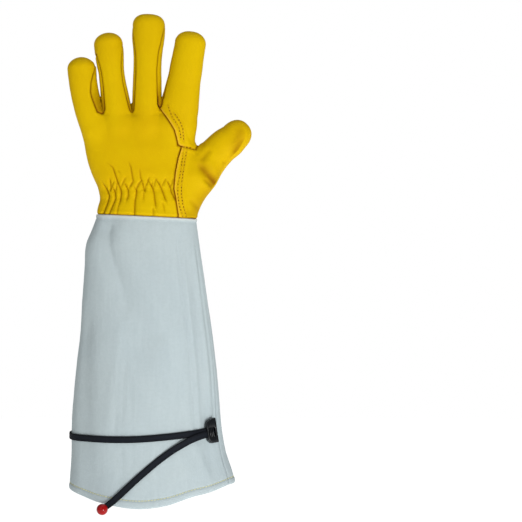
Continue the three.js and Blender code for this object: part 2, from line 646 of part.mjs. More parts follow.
function block(x0, x1, y0, y1, z0, z1) {
  const geometry = new THREE.BoxGeometry(x1 - x0, y1 - y0, z1 - z0);
  geometry.translate((x0 + x1) / 2, (y0 + y1) / 2, (z0 + z1) / 2);
  return solidFrom(geometry);
}

function buckleSolid() {
  const [w, h, r] = [BUCKLE_WIDTH / 2, BUCKLE_HEIGHT / 2, BUCKLE_CORNER];
  const outline = new THREE.Shape();
  outline.moveTo(w, -h);
  outline.lineTo(w, h);
  outline.lineTo(-w + r, h);
  outline.quadraticCurveTo(-w, h, -w, h - r);
  outline.lineTo(-w, -h + r * 0.7);
  outline.lineTo(-w + r * 0.7, -h);
  outline.closePath();
  const plate = new THREE.ExtrudeGeometry(outline, { depth: buckleDepth, bevelEnabled: false, curveSegments: 5 });
  const middle = -LAYER_OFFSET / 2;
  const slot = block(-w - 1, w - BUCKLE_END_WALL, middle - slotHeight / 2, middle + slotHeight / 2,
    BUCKLE_WALL, BUCKLE_WALL + slotDepth);
  const room = BUCKLE_WIDTH - BUCKLE_END_WALL - BUCKLE_LIP;
  const pitch = room / (BUCKLE_RIBS + 1);
  let solid = solidFrom(plate).subtract(slot);
  for (let i = 0; i <= BUCKLE_RIBS; i++) {
    const x0 = -w + BUCKLE_LIP + i * pitch + (i ? BUCKLE_RIB_WIDTH / 2 : 0);
    const x1 = -w + BUCKLE_LIP + (i + 1) * pitch - (i < BUCKLE_RIBS ? BUCKLE_RIB_WIDTH / 2 : 0);
    solid = solid.subtract(block(x0, x1, middle - slotHeight / 2 + 0.5, middle + slotHeight / 2 - 0.5,
      BUCKLE_WALL + slotDepth - 0.5, buckleDepth + 1));
  }
  return solid;
}

function placed(solid, matrix) {
  return solid.transform(matrix.elements);
}
const buckle = placed(buckleSolid(), buckleFrame);

// A flat tape along points, each with the direction that its face looks in
function tape(points, facings) {
  const [a, b] = [TAPE_WIDTH / 2, TAPE_THICKNESS / 2];
  const corner = 0.35;
  const outline = [[a, -b + corner], [a, b - corner], [a - corner, b], [-a + corner, b],
    [-a, b - corner], [-a, -b + corner], [-a + corner, -b], [a - corner, -b]];
  const rings = points.map((point, i) => {
    const tangent = points[Math.min(points.length - 1, i + 1)].clone().sub(points[Math.max(0, i - 1)]).normalize();
    const facing = facings[i].clone().addScaledVector(tangent, -facings[i].dot(tangent)).normalize();
    const side = vector(0, 0, 0).crossVectors(tangent, facing);
    return outline.map(([p, q]) => point.clone().addScaledVector(side, p).addScaledVector(facing, q));
  });
  return loft(rings, points[0].clone(), points[points.length - 1].clone());
}
const inBuckle = (x, y, z) => vector(x, y, z).applyMatrix4(buckleFrame);
const outward = vector(0, 0, 1).transformDirection(buckleFrame);
const lowLayer = BUCKLE_WALL + TAPE_CLEARANCE + TAPE_THICKNESS / 2;
const highLayer = lowLayer + TAPE_CLEARANCE + TAPE_THICKNESS;
const slotEnd = BUCKLE_WIDTH / 2 - BUCKLE_END_WALL - 1;

function heldTape() {
  const points = [];
  const facings = [];
  const first = TAPE_ROUTE[0].angle;
  const last = TAPE_ROUTE[TAPE_ROUTE.length - 1].angle;
  const steps = HELD_TAPE_STEPS;
  for (let i = 0; i <= steps; i++) {
    const angle = lerp(first, last, i / steps);
    const down = along(TAPE_ROUTE, "angle", angle, "down");
    const lift = Math.max(0, along(TAPE_ROUTE, "angle", angle, "lift")) + REST_GAP + 0.25 + TAPE_THICKNESS / 2;
    points.push(cuffPoint(angle, down, lift));
    facings.push(cuffNormal(angle, down));
  }
  for (const x of [-BUCKLE_WIDTH / 2 - 2.5, -BUCKLE_WIDTH / 2 + 1, slotEnd]) {
    points.push(inBuckle(x, 0, lowLayer));
    facings.push(outward);
  }
  return tape(points, facings);
}

// The angle round the cuff of a place seen from the back
function angleAt(x, down) {
  const wide = lerp(WRIST_WIDTH, MOUTH_WIDTH, down);
  const left = wide * along(CUFF_SECTIONS, "at", down, "left");
  const right = wide * along(CUFF_SECTIONS, "at", down, "right");
  const share = (x - (right - left) / 2) / ((right + left) / 2);
  return (-Math.acos(share) * 180) / Math.PI;
}
const seat = ({ x, z, lift }, half) => {
  const down = -z / CUFF_LENGTH;
  return cuffPoint(angleAt(x, down), down, lift + REST_GAP + half);
};
const ballCentre = seat(BALL_PLACE, BALL_DIAMETER / 2);

function freeEnd() {
  const laid = TAIL_ROUTE.map((row) => seat(row, TAPE_THICKNESS / 2));
  const facing = (p) => cuffNormal(angleAt(p.x, -p.z / CUFF_LENGTH), Math.min(0.98, -p.z / CUFF_LENGTH));
  const start = [slotEnd, 0, -BUCKLE_WIDTH / 2 - 2].map((x) => inBuckle(x, -LAYER_OFFSET, highLayer));
  const lastLaid = laid[laid.length - 1];
  const toBall = ballCentre.clone().sub(lastLaid).normalize();
  const end = ballCentre.clone().addScaledVector(toBall, -BALL_DIAMETER / 2 - REST_GAP - 0.35);
  const curve = new THREE.CatmullRomCurve3([...start, ...laid, end], false, "centripetal");
  const steps = FREE_TAPE_STEPS;
  const points = curve.getSpacedPoints(steps);
  const facings = points.map((p, i) => {
    const own = facing(p);
    const t = clamp((i / steps - 0.14) / 0.12);
    return outward.clone().multiplyScalar(1 - t).addScaledVector(own, t).normalize();
  });
  return tape(points, facings);
}
const ballGeometry = new THREE.SphereGeometry(BALL_DIAMETER / 2, 16, 10);
ballGeometry.translate(ballCentre.x, ballCentre.y, ballCentre.z);

// Meshes
const look = (color, roughness, metalness = 0) => ({ color, roughness, metalness });
const PIECES = [
  { name: "back_panel", solid: backPanel, look: look(0xd6ae14, 0.72) },
  { name: "palm_panel", solid: palmPanel, look: look(0xdcb71c, 0.72) },
  { name: "thumb_panel", solid: thumbPanel, look: look(0xd3a814, 0.72) },
  ...fourchettes.map((f) => ({ name: f.name, solid: shell.intersect(f.piece), look: look(0xcda512, 0.74) })),
  { name: "cuff_back", solid: cuffBack, look: look(0xc3d1d2, 0.9) },
  { name: "cuff_palm", solid: cuffPalm, look: look(0xb9c8cf, 0.9) },
  { name: "cuff_tape", solid: heldTape(), look: look(0x181c22, 0.8) },
  { name: "buckle", solid: buckle, look: look(0x17191c, 0.35) },
  { name: "tape_tail", solid: freeEnd(), look: look(0x181c22, 0.8) },
  { name: "pull_ball", solid: solidFrom(ballGeometry), look: look(0xa5252a, 0.2) },
];

function meshOf({ name, solid, look: finish }) {
  const { vertProperties, triVerts, numProp } = mainBody(solid).setTolerance(FLATNESS).getMesh();
  const positions = new Float32Array((vertProperties.length / numProp) * 3);
  for (let i = 0; i < positions.length / 3; i++) {
    for (let k = 0; k < 3; k++) positions[i * 3 + k] = vertProperties[i * numProp + k];
  }
  const geometry = new THREE.BufferGeometry();
  geometry.setAttribute("position", new THREE.BufferAttribute(positions, 3));
  geometry.setIndex(Array.from(triVerts));
  geometry.computeVertexNormals();
  const mesh = new THREE.Mesh(geometry, new THREE.MeshStandardMaterial(finish));
  mesh.name = name;
  return mesh;
}

const glove = new THREE.Group();
glove.name = "rose_pruning_gauntlet";
for (const piece of PIECES) glove.add(meshOf(piece));

export default glove;
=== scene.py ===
"""A left-hand rose pruning gauntlet: golden leather glove, long pale cuff, tape, buckle and pull ball.

Shapes are worked out in millimetres, in the row's frame, and written to the meshes in metres.
"""

import math

import bpy
import numpy as np
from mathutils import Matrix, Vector
from mathutils.bvhtree import BVHTree


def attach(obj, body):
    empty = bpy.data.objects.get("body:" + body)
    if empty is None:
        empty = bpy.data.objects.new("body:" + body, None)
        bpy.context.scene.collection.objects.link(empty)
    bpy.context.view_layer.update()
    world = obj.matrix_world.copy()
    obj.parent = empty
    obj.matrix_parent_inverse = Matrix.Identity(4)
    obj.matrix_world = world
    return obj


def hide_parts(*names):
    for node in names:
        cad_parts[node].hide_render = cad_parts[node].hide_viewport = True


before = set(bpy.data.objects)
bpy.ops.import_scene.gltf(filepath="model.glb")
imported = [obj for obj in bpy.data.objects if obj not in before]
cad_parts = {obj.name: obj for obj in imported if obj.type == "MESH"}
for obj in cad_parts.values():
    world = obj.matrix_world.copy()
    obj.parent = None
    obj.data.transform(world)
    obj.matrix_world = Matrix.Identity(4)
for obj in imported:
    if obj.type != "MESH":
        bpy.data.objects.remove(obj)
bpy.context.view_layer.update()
MM = 0.001

# Sizes, as the solids have them
WRIST_WIDTH = 97
WRIST_DEPTH = 50
WRIST_DIP = 1.4
WRIST_SLANT = 4.6
PALM_LENGTH = 95
PALM_WIDTH = 112
PALM_DEPTH = 37
SQUARENESS = 2.2
FINGER_CURL = 9
FOURCHETTE_WIDTH = 18
ROOT_DEPTH = 1.24
FINGER_ROOT = 0.75
FINGER_MID = 0.52
FINGER_WAIST = (0.2, 0.62, 0.84)
TIP_ROUND = 0.4
GLOVE_LEATHER = 1.25
CUFF_LENGTH = 275
MOUTH_WIDTH = 160
MOUTH_DEPTH = 104
CUFF_LEATHER = 1.5
HEM_WIDTH = 8.5
TAPE_WIDTH = 6.35
TAPE_THICKNESS = 1.2

# at, grown, left, right, depth
PALM = np.array([
    [0, 0, 0.5, 0.487, 0.5],
    [0.075, 0, 0.488, 0.5, 0.48],
    [0.16, 0, 0.465, 0.51, 0.456],
    [0.27, 0.1, 0.478, 0.497, 0.452],
    [0.34, 0.25, 0.496, 0.479, 0.465],
    [0.42, 0.4, 0.516, 0.458, 0.48],
    [0.53, 0.6, 0.536, 0.434, 0.48],
    [0.68, 0.8, 0.548, 0.415, 0.46],
    [0.82, 1, 0.5425, 0.404, 0.42],
    [0.92, 1, 0.541, 0.41, 0.37],
    [0.98, 1, 0.535, 0.395, 0.31],
    [1.02, 1, 0.51, 0.36, 0.2],
])
# length, width, depth, root, mid, tip, base, waist, blunt
FINGERS = {
    "little": (56.8, 27.2, 23, -0.396, -0.529, -0.569, 1, 0.98, 1.85),
    "ring": (80.2, 27.4, 24.4, -0.207, -0.2955, -0.348, 1.06, 0.9, 2),
    "middle": (98.4, 31, 25.6, -0.006, -0.002, 0.011, 0.93, 0.87, 2.6),
    "index": (82, 29.8, 25, 0.217, 0.308, 0.3826, 1.3, 1.05, 2.1),
}
THUMB_LENGTH = 106.7
THUMB_WIDTH = 34
THUMB_DEPTH = 31
THUMB_SPREAD = 41
THUMB_FORWARD = 11
THUMB_ROOT = (0.232, 0.084)
# at, offset, half
THUMB = np.array([
    [0, 0.06, 0.44],
    [0.21, -0.03, 0.525],
    [0.39, -0.075, 0.54],
    [0.518, -0.125, 0.503],
    [0.65, -0.115, 0.47],
    [0.755, -0.07, 0.467],
    [0.84, -0.03, 0.425],
])
# at, left, right
CUFF = np.array([
    [0, 0.5, 0.487],
    [0.022, 0.508, 0.481],
    [0.05, 0.527, 0.481],
    [0.105, 0.566, 0.484],
    [0.187, 0.553, 0.49],
    [0.3, 0.538, 0.497],
    [0.41, 0.524, 0.506],
    [0.516, 0.524, 0.508],
    [0.627, 0.518, 0.502],
    [0.738, 0.506, 0.495],
    [0.824, 0.49, 0.505],
    [0.896, 0.482, 0.532],
    [1, 0.475, 0.562],
])
# across, down
HEM = np.array([
    [0, 0.951],
    [0.08, 0.963],
    [0.2, 0.982],
    [0.42, 1],
    [0.6, 0.99],
    [0.76, 0.963],
    [0.88, 0.949],
    [1, 0.93],
])
LITTLE_SIDE_SEAM = (145, 157)
THUMB_SIDE_SEAM = (-8, -21)
# angle and height of both ends, spread in degrees, height in mm
CUFF_FOLDS = [
    (-140, 0.0, -88, 0.42, 13, -2.6),
    (-118, 0.0, -66, 0.4, 12, 1.6),
    (-34, 0.28, -38, 0.82, 8, -2.2),
    (-150, 0.42, -138, 0.9, 12, -2),
    (60, 0.02, 96, 0.5, 14, -2.4),
    (112, 0.3, 104, 0.9, 13, -2),
]
# Leather seams on the hand, in shares of the palm's width and length
LAPPED_SEAM = [(0.107, 1.085), (0.168, 0.985), (0.21, 0.91), (0.239, 0.852), (0.256, 0.78), (0.27, 0.7)]
THUMB_SEAM_BACK = [(0.3, 0.685), (0.272, 0.57), (0.247, 0.41), (0.237, 0.26), (0.252, 0.17), (0.284, -0.1)]
THUMB_SEAM_PALM = [(0.415, 0.66), (0.385, 0.48), (0.32, 0.26), (0.25, -0.1)]
NOTCH = [(0.415, 0.66), (0.5, 0.9), (0.53, 1.4)]
INDEX_EDGE = [(0.133, 1.28), (0.185, 1.7), (0.21, 2.3)]
CROTCHES = [(-0.383, 1.041), (-0.133, 0.99), (0.105, 1.079)]


def along(rows, at, column):
    """A smooth cubic through a table's rows, with slopes from each row's neighbours, level past the ends."""
    keys, values = rows[:, 0], rows[:, column]
    slopes = np.empty(len(keys))
    slopes[1:-1] = (values[2:] - values[:-2]) / (keys[2:] - keys[:-2])
    slopes[0] = (values[1] - values[0]) / (keys[1] - keys[0])
    slopes[-1] = (values[-1] - values[-2]) / (keys[-1] - keys[-2])
    place = np.clip(at, keys[0], keys[-1])
    row = np.clip(np.searchsorted(keys, place, side="right") - 1, 0, len(keys) - 2)
    span = keys[row + 1] - keys[row]
    t = (place - keys[row]) / span
    rise = 3 * t**2 - 2 * t**3
    bend = (t**3 - 2 * t**2 + t) * slopes[row] + (t**3 - t**2) * slopes[row + 1]
    return values[row] * (1 - rise) + values[row + 1] * rise + bend * span


def ease(t):
    t = np.clip(t, 0, 1)
    return t * t * (3 - 2 * t)


def mix(a, b, t):
    return a + (b - a) * t


def bump(distance, width):
    """A bell of height 1 and that half width."""
    return np.exp(-((distance / width) ** 2))


def unit(v):
    return v / np.maximum(np.linalg.norm(v, axis=-1, keepdims=True), 1e-12)


def dot(a, b):
    """The dot product of each row with its row."""
    return np.einsum("ij,ij->i", a, b)


def square_to(v, axis):
    """The part of each row that lies square to its axis, at length 1."""
    return unit(v - axis * dot(v, axis)[:, None])


def run_along(line):
    """How much of a line's length is passed at each of its points."""
    return np.concatenate([[0], np.cumsum(np.linalg.norm(np.diff(line, axis=0), axis=1))])


def at_run(at, run, rows):
    """A table's rows read at other places of the run that they stand at."""
    return np.column_stack([np.interp(at, run, column) for column in np.transpose(rows)])


# Hand: one smooth distance field, negative inside. The boxes hold all that each part's field can reach.
PALM_BOX = ([-95, -45, -40], [95, 45, 115])
THUMB_BOX = ([-5, -34, -4], [118, 44, 110])
HAND_BOX = ((-84, -34, -9), (110, 40, 199))
FINGER_BLEND = 5  # how far from the fingers' roots they run into the palm
THUMB_BLEND = 9
ROOT_HEIGHT = FINGER_ROOT * PALM_LENGTH
TALLEST = PALM_LENGTH + max(f[0] for f in FINGERS.values())


def curl(z):
    """The fingers lean towards the palm with the square of their height above the roots."""
    return FINGER_CURL * np.maximum(0, (z - ROOT_HEIGHT) / (TALLEST - ROOT_HEIGHT)) ** 2


def seam_height(x):
    return -WRIST_DIP - WRIST_SLANT * x / WRIST_WIDTH


def rounded_norm(x, y, a, b, n):
    """The norm (|x/a|^n + |y/b|^n)^(1/n), which is 1 on a rounded section, and how steep it is."""
    p, q = np.maximum(np.abs(x) / a, 1e-6), np.maximum(np.abs(y) / b, 1e-6)
    norm = (p**n + q**n) ** (1 / n)
    slope = norm ** (1 - n) * np.sqrt((p ** (n - 1) / a) ** 2 + (q ** (n - 1) / b) ** 2)
    return norm, slope


def palm_field(p):
    """Rounded sections up the hand from the palm's table, closed by a plane above the last."""
    x, y, z = p.T
    up = z / PALM_LENGTH
    grown = along(PALM, up, 1)
    wide, deep = mix(WRIST_WIDTH, PALM_WIDTH, grown), mix(WRIST_DEPTH, PALM_DEPTH, grown)
    left, right = wide * along(PALM, up, 2), wide * along(PALM, up, 3)
    a, b = (left + right) / 2, deep * along(PALM, up, 4)
    norm, slope = rounded_norm(x - (right - left) / 2, y, a, b, SQUARENESS)
    return np.maximum((norm - 1) / slope, z - PALM[-1, 0] * PALM_LENGTH)


def capped(side, depth, h, a, b, blunt, reach):
    """A rounded section that closes over its last stretch as |section|^blunt + |h|^blunt = 1."""
    norm, slope = rounded_norm(side, depth, a, b, SQUARENESS)
    h = np.maximum(h, 0)
    both = (norm**blunt + h**blunt) ** (1 / blunt)
    steep = np.sqrt((slope * (norm / both) ** (blunt - 1)) ** 2 + ((h / both) ** (blunt - 1) / reach) ** 2)
    return (both - 1) / np.maximum(steep, 1e-3)


def finger_line(finger):
    """A finger's centre line: a parabola through root, middle and tip that leans with the curl, run on past
    both ends."""
    length, _, _, root, mid, tip = FINGERS[finger][:6]
    top = PALM_LENGTH + length
    z = np.linspace(ROOT_HEIGHT, top, 25)
    t = (z - ROOT_HEIGHT) / (top - ROOT_HEIGHT)
    m = FINGER_MID
    x = PALM_WIDTH * (root * (t - m) * (t - 1) / m + mid * t * (t - 1) / (m * (m - 1))
                      + tip * t * (t - m) / (1 - m))
    line = np.column_stack([x, curl(z), z])
    return np.vstack([line[0] - 8 * (line[1] - line[0]), line, line[-1] + 8 * (line[-1] - line[-2])])


def finger_field(p, finger):
    """A rounded section carried up the centre line, wider towards root or tip, with a blunt round tip."""
    _, width, depth, _, _, _, base, waist, blunt = FINGERS[finger]
    line = finger_line(finger)
    run = run_along(line)
    run = run - run[1]
    total = run[-2]
    tangents = np.gradient(line, run, axis=0)
    at = np.interp(p[:, 2], line[:, 2], run)
    for _ in range(2):
        tangent = unit(at_run(at, run, tangents))
        at = at + dot(p - at_run(at, run, line), tangent)
    side = unit(np.column_stack([tangent[:, 2], np.zeros(len(p)), -tangent[:, 0]]))
    forward = np.cross(tangent, side)
    off = p - at_run(at, run, line)
    u = np.clip(at / total, 0, 1)
    start, narrowest, full = FINGER_WAIST
    grown = np.where(u < narrowest, mix(base, waist, ease((u - start) / (narrowest - start))),
                     mix(waist, 1, ease((u - narrowest) / (full - narrowest))))
    a = width * 0.5 * grown
    b = depth * 0.5 * mix(ROOT_DEPTH, 1, np.clip(u / 0.5, 0, 1))
    reach = TIP_ROUND * width
    h = (at - (total - reach)) / reach
    body = capped(dot(off, side), dot(off, forward), h, a, b, blunt, reach)
    return np.maximum(body + 3 * ease((14 - at) / 22), -at - 7)


def thumb_frame():
    spread = math.radians(THUMB_SPREAD)
    tangent = unit(np.array([math.sin(spread), THUMB_FORWARD / THUMB_LENGTH, math.cos(spread)]))
    side = unit(np.array([tangent[2], 0, -tangent[0]]))
    base = np.array([THUMB_ROOT[0] * PALM_WIDTH, 0, THUMB_ROOT[1] * PALM_LENGTH])
    return base, tangent, side, np.cross(tangent, side)


def thumb_field(p):
    """Rounded sections from the thumb's table along its axis, closed by a round tip."""
    base, tangent, side, forward = thumb_frame()
    off = p - base
    at = off @ tangent / THUMB_LENGTH
    a = along(THUMB, at, 2) * THUMB_WIDTH
    across = off @ side - along(THUMB, at, 1) * THUMB_WIDTH
    last = THUMB[-1, 0]
    h = (at - last) / (1 - last)
    body = capped(across, off @ forward, h, a, a * THUMB_DEPTH / THUMB_WIDTH, 2.2, (1 - last) * THUMB_LENGTH)
    return np.maximum(body, -at * THUMB_LENGTH - 3)


def smooth_union(a, b, reach):
    """The lesser of two fields, rounded where they are within reach of each other."""
    t = np.clip(0.5 + 0.5 * (b - a) / reach, 0, 1)
    return mix(b, a, t) - reach * t * (1 - t)


FIELD_LIMIT = 14.0  # millimetres: no part's field is told farther off than this


def near(p, field, low, high):
    """The field inside a box, and its limit outside it, to save work."""
    result = np.full(len(p), FIELD_LIMIT)
    inside = np.all((p > low) & (p < high), axis=1)
    if inside.any():
        result[inside] = field(p[inside])
    return np.minimum(result, FIELD_LIMIT)


def hand_field(p):
    """The palm, joined softly to the four fingers and more softly to the thumb."""
    fingers = np.full(len(p), FIELD_LIMIT)
    for name in FINGERS:
        line = finger_line(name)[1:-1]
        low, high = line.min(0) - 24, line.max(0) + 24
        low[2] = ROOT_HEIGHT - 10
        fingers = np.minimum(fingers, near(p, lambda q, name=name: finger_field(q, name), low, high))
    whole = smooth_union(near(p, palm_field, *PALM_BOX), fingers, FINGER_BLEND)
    return smooth_union(whole, near(p, thumb_field, *THUMB_BOX), THUMB_BLEND)


def slope_of(field, p, step=0.25):
    """The field's unit gradient, from central differences."""
    return unit(np.column_stack([field(p + shift) - field(p - shift) for shift in np.eye(3) * step]))


def surface_of(field, low, high, step):
    """A triangle skin on a field's zero level: one corner in each grid cell that the level crosses, at the
    mean of its crossings, one square across each crossed grid edge, and each corner moved along the slope."""
    axes = [np.arange(a, b + step, step) for a, b in zip(low, high)]
    shape = tuple(len(a) for a in axes)
    value = np.empty(shape)
    yz = np.stack(np.meshgrid(axes[1], axes[2], indexing="ij"), -1).reshape(-1, 2)
    for i, x in enumerate(axes[0]):
        value[i] = field(np.column_stack([np.full(len(yz), x), yz])).reshape(shape[1:])
    inside = value < 0
    corners = [(i, j, k) for i in (0, 1) for j in (0, 1) for k in (0, 1)]
    last = [n - 1 for n in shape]
    count = sum(inside[i:last[0] + i, j:last[1] + j, k:last[2] + k].astype(int) for i, j, k in corners)
    mixed = (count > 0) & (count < 8)
    number = np.full(mixed.shape, -1)
    cells = np.argwhere(mixed)
    number[mixed] = np.arange(len(cells))
    total, hits = np.zeros((len(cells), 3)), np.zeros(len(cells))
    for a in corners:
        for axis in range(3):
            if a[axis]:
                continue
            b = np.array(a)
            b[axis] = 1
            start, end = value[tuple((cells + a).T)], value[tuple((cells + b).T)]
            cross = (start < 0) != (end < 0)
            t = np.where(cross, start / np.where(cross, start - end, 1), 0)
            point = cells + np.array(a, float)
            point[:, axis] += t
            total += point * cross[:, None]
            hits += cross
    corner = np.array(low) + step * total / hits[:, None]
    squares = []
    for axis in range(3):
        one, two = [k for k in range(3) if k != axis]
        first = np.take(inside, range(shape[axis] - 1), axis)
        second = np.take(inside, range(1, shape[axis]), axis)
        at = np.argwhere(first != second)
        at = at[(at[:, [one, two]] > 0).all(1) & (at[:, [one, two]] < [last[one], last[two]]).all(1)]
        around = []
        for d1, d2 in ((0, 0), (1, 0), (1, 1), (0, 1)):
            cell = at.copy()
            cell[:, one] -= d1
            cell[:, two] -= d2
            around.append(number[tuple(cell.T)])
        around = np.column_stack(around)
        flip = first[tuple(at.T)] ^ (axis == 1)
        around[flip] = around[flip][:, ::-1]
        squares.append(around)
    squares = np.vstack(squares)
    for _ in range(3):
        g = slope_of(field, corner)
        corner = corner - field(corner)[:, None] * g * 0.9
    faces = np.vstack([squares[:, [0, 1, 2]], squares[:, [0, 2, 3]]])
    return corner, faces


def edges_of(faces):
    """The triangles' first edges, then their second and third ones, each from its lower corner on."""
    return np.sort(np.vstack([faces[:, [0, 1]], faces[:, [1, 2]], faces[:, [2, 0]]]), axis=1)


def split(points, faces, value):
    """Cuts the triangles that a field's zero level crosses, at the straight crossing of each edge. A corner
    within a fifth of an edge from its crossing moves there instead, which leaves no slivers."""
    points, value = points.copy(), value.copy()
    signs = np.sign(value[faces])
    touched = signs.min(1) * signs.max(1) < 0
    untouched, faces = faces[~touched], faces[touched]
    edges, of_face = np.unique(edges_of(faces), axis=0, return_inverse=True)
    of_face = of_face.reshape(3, -1).T
    a, b = edges.T
    t = value[a] / np.where(value[a] == value[b], 1, value[a] - value[b])
    cross = value[a] * value[b] < 0
    for chosen, corner in ((cross & (t < 0.2), a), (cross & (t > 0.8), b)):
        points[corner[chosen]] = mix(points[a[chosen]], points[b[chosen]], t[chosen][:, None])
        value[corner[chosen]] = 0
    cross = value[a] * value[b] < 0
    number = len(points) + np.cumsum(cross) - 1
    added = mix(points[a[cross]], points[b[cross]], t[cross][:, None])
    crossed = cross[of_face]
    count = crossed.sum(1)
    result = [untouched, faces[count == 0]]
    one, two = count == 1, count == 2
    turn = (np.argmax(crossed[one], axis=1)[:, None] + np.arange(3)) % 3
    f = np.take_along_axis(faces[one], turn, 1)
    m = number[np.take_along_axis(of_face[one], turn, 1)[:, 0]]
    result += [np.column_stack([f[:, 0], m, f[:, 2]]), np.column_stack([m, f[:, 1], f[:, 2]])]
    turn = (np.argmin(crossed[two], axis=1)[:, None] + 2 + np.arange(3)) % 3
    f = np.take_along_axis(faces[two], turn, 1)
    e = number[np.take_along_axis(of_face[two], turn, 1)]
    result += [
        np.column_stack([f[:, 0], e[:, 0], e[:, 2]]),
        np.column_stack([e[:, 0], f[:, 1], f[:, 2]]),
        np.column_stack([e[:, 0], f[:, 2], e[:, 2]]),
    ]
    return np.vstack([points, added]), np.vstack(result)


def line_distance(x, z, line):
    """Distance to an open line seen from the front, and the share of its length at the nearest place."""
    line = np.asarray(line, float)
    spans = np.linalg.norm(np.diff(line, axis=0), axis=1)
    before = np.concatenate([[0], np.cumsum(spans)])
    best, share = np.full(len(x), 1e9), np.zeros(len(x))
    for start, end, span, passed in zip(line[:-1], line[1:], spans, before):
        along_it = ((x - start[0]) * (end[0] - start[0]) + (z - start[1]) * (end[1] - start[1])) / span**2
        t = np.clip(along_it, 0, 1)
        d = np.hypot(x - mix(start[0], end[0], t), z - mix(start[1], end[1], t))
        closer = d < best
        best = np.where(closer, d, best)
        share = np.where(closer, (passed + t * span) / before[-1], share)
    return best, share


def outline_distance(x, z, outline):
    """Distance to a closed outline seen from the front, negative inside."""
    outline = np.asarray(outline, float)
    distance, _ = line_distance(x, z, np.vstack([outline, outline[:1]]))
    inside = np.zeros(len(x), bool)
    for (ax, az), (bx, bz) in zip(outline, np.roll(outline, -1, 0)):
        if az != bz:
            inside ^= ((az > z) != (bz > z)) & (x < (bx - ax) * (z - az) / (bz - az) + ax)
    return np.where(inside, -distance, distance)


# The hand's panels, as outlines seen from the front
def spots(rows):
    return [(across * PALM_WIDTH, up * PALM_LENGTH) for across, up in rows]


FAR = 133.3  # millimetres across, past the thumb's tip
thumb_back_line, thumb_palm_line, notch_line = spots(THUMB_SEAM_BACK), spots(THUMB_SEAM_PALM), spots(NOTCH)
lapped_line = spots(LAPPED_SEAM)
thumb_side = [(FAR, 133), (FAR, -9.5)]
thumb_back_outline = thumb_back_line[::-1] + notch_line + thumb_side
thumb_palm_outline = thumb_palm_line[::-1] + notch_line[1:] + thumb_side
index_outline = (spots(INDEX_EDGE)[::-1] + lapped_line + thumb_back_line[:1] + notch_line
                 + [(0.6 * PALM_WIDTH, 2.3 * PALM_LENGTH)])


def thumb_region(p):
    """Negative on the thumb's panel: its back outline behind the middle plane, its palm outline before it."""
    x, y, z = p.T
    back, palm = outline_distance(x, z, thumb_back_outline), outline_distance(x, z, thumb_palm_outline)
    return np.where(y < curl(z), back, palm)


def back_region(p):
    """Negative behind the middle plane and outside the index finger's outline."""
    x, y, z = p.T
    return np.maximum(y - curl(z), -outline_distance(x, z, index_outline))


# How wide a strip between two fingers is: places up the strip, and shares of its width there
FOURCHETTE_TAPER = ([0, 0.1, 0.5, 0.7, 0.85, 0.95, 1], [0.35, 1, 0.97, 0.87, 0.66, 0.36, 0.05])
# Left and right finger, the crotch's place, and how far the strip reaches round each
FOURCHETTES = {
    "fourchette_little_ring": ("little", "ring", CROTCHES[0], 1.2, 1),
    "fourchette_ring_middle": ("ring", "middle", CROTCHES[1], 0.85, 0.95),
    "fourchette_middle_index": ("middle", "index", CROTCHES[2], 1.05, 0.5),
}


def fourchette_region(p, left, right, crotch, left_reach, right_reach):
    """Negative between two fingers' centre lines, in a band about the middle plane that runs up each finger
    to its tip and narrows there. On the back it reaches round each finger as that finger's share says."""
    x, y, z = p.T
    low = crotch[1] * PALM_LENGTH - 5.5
    lines = [finger_line(finger)[1:-1][:, [0, 2]] for finger in (left, right)]
    lines = [line[line[:, 1] > low] for line in lines]
    between = sum(np.interp(z, line[:, 1], line[:, 0]) for line in lines) / 2
    on_right = ease((x - between) / 3 + 0.5)
    high = PALM_LENGTH - 10 + mix(FINGERS[left][0], FINGERS[right][0], on_right)
    half = np.interp((z - low) / (high - low), *FOURCHETTE_TAPER)
    half = half * FOURCHETTE_WIDTH / 2 * np.where(y < curl(z), mix(left_reach, right_reach, on_right), 1)
    half = half - np.maximum(0, z - high) - np.maximum(0, low - z)
    middle = crotch[0] * PALM_WIDTH
    outline = np.vstack([[(middle - 5, low)], lines[0], lines[1][::-1], [(middle + 5, low)]])
    return np.maximum(np.abs(y - curl(z)) - half, outline_distance(x, z, outline))


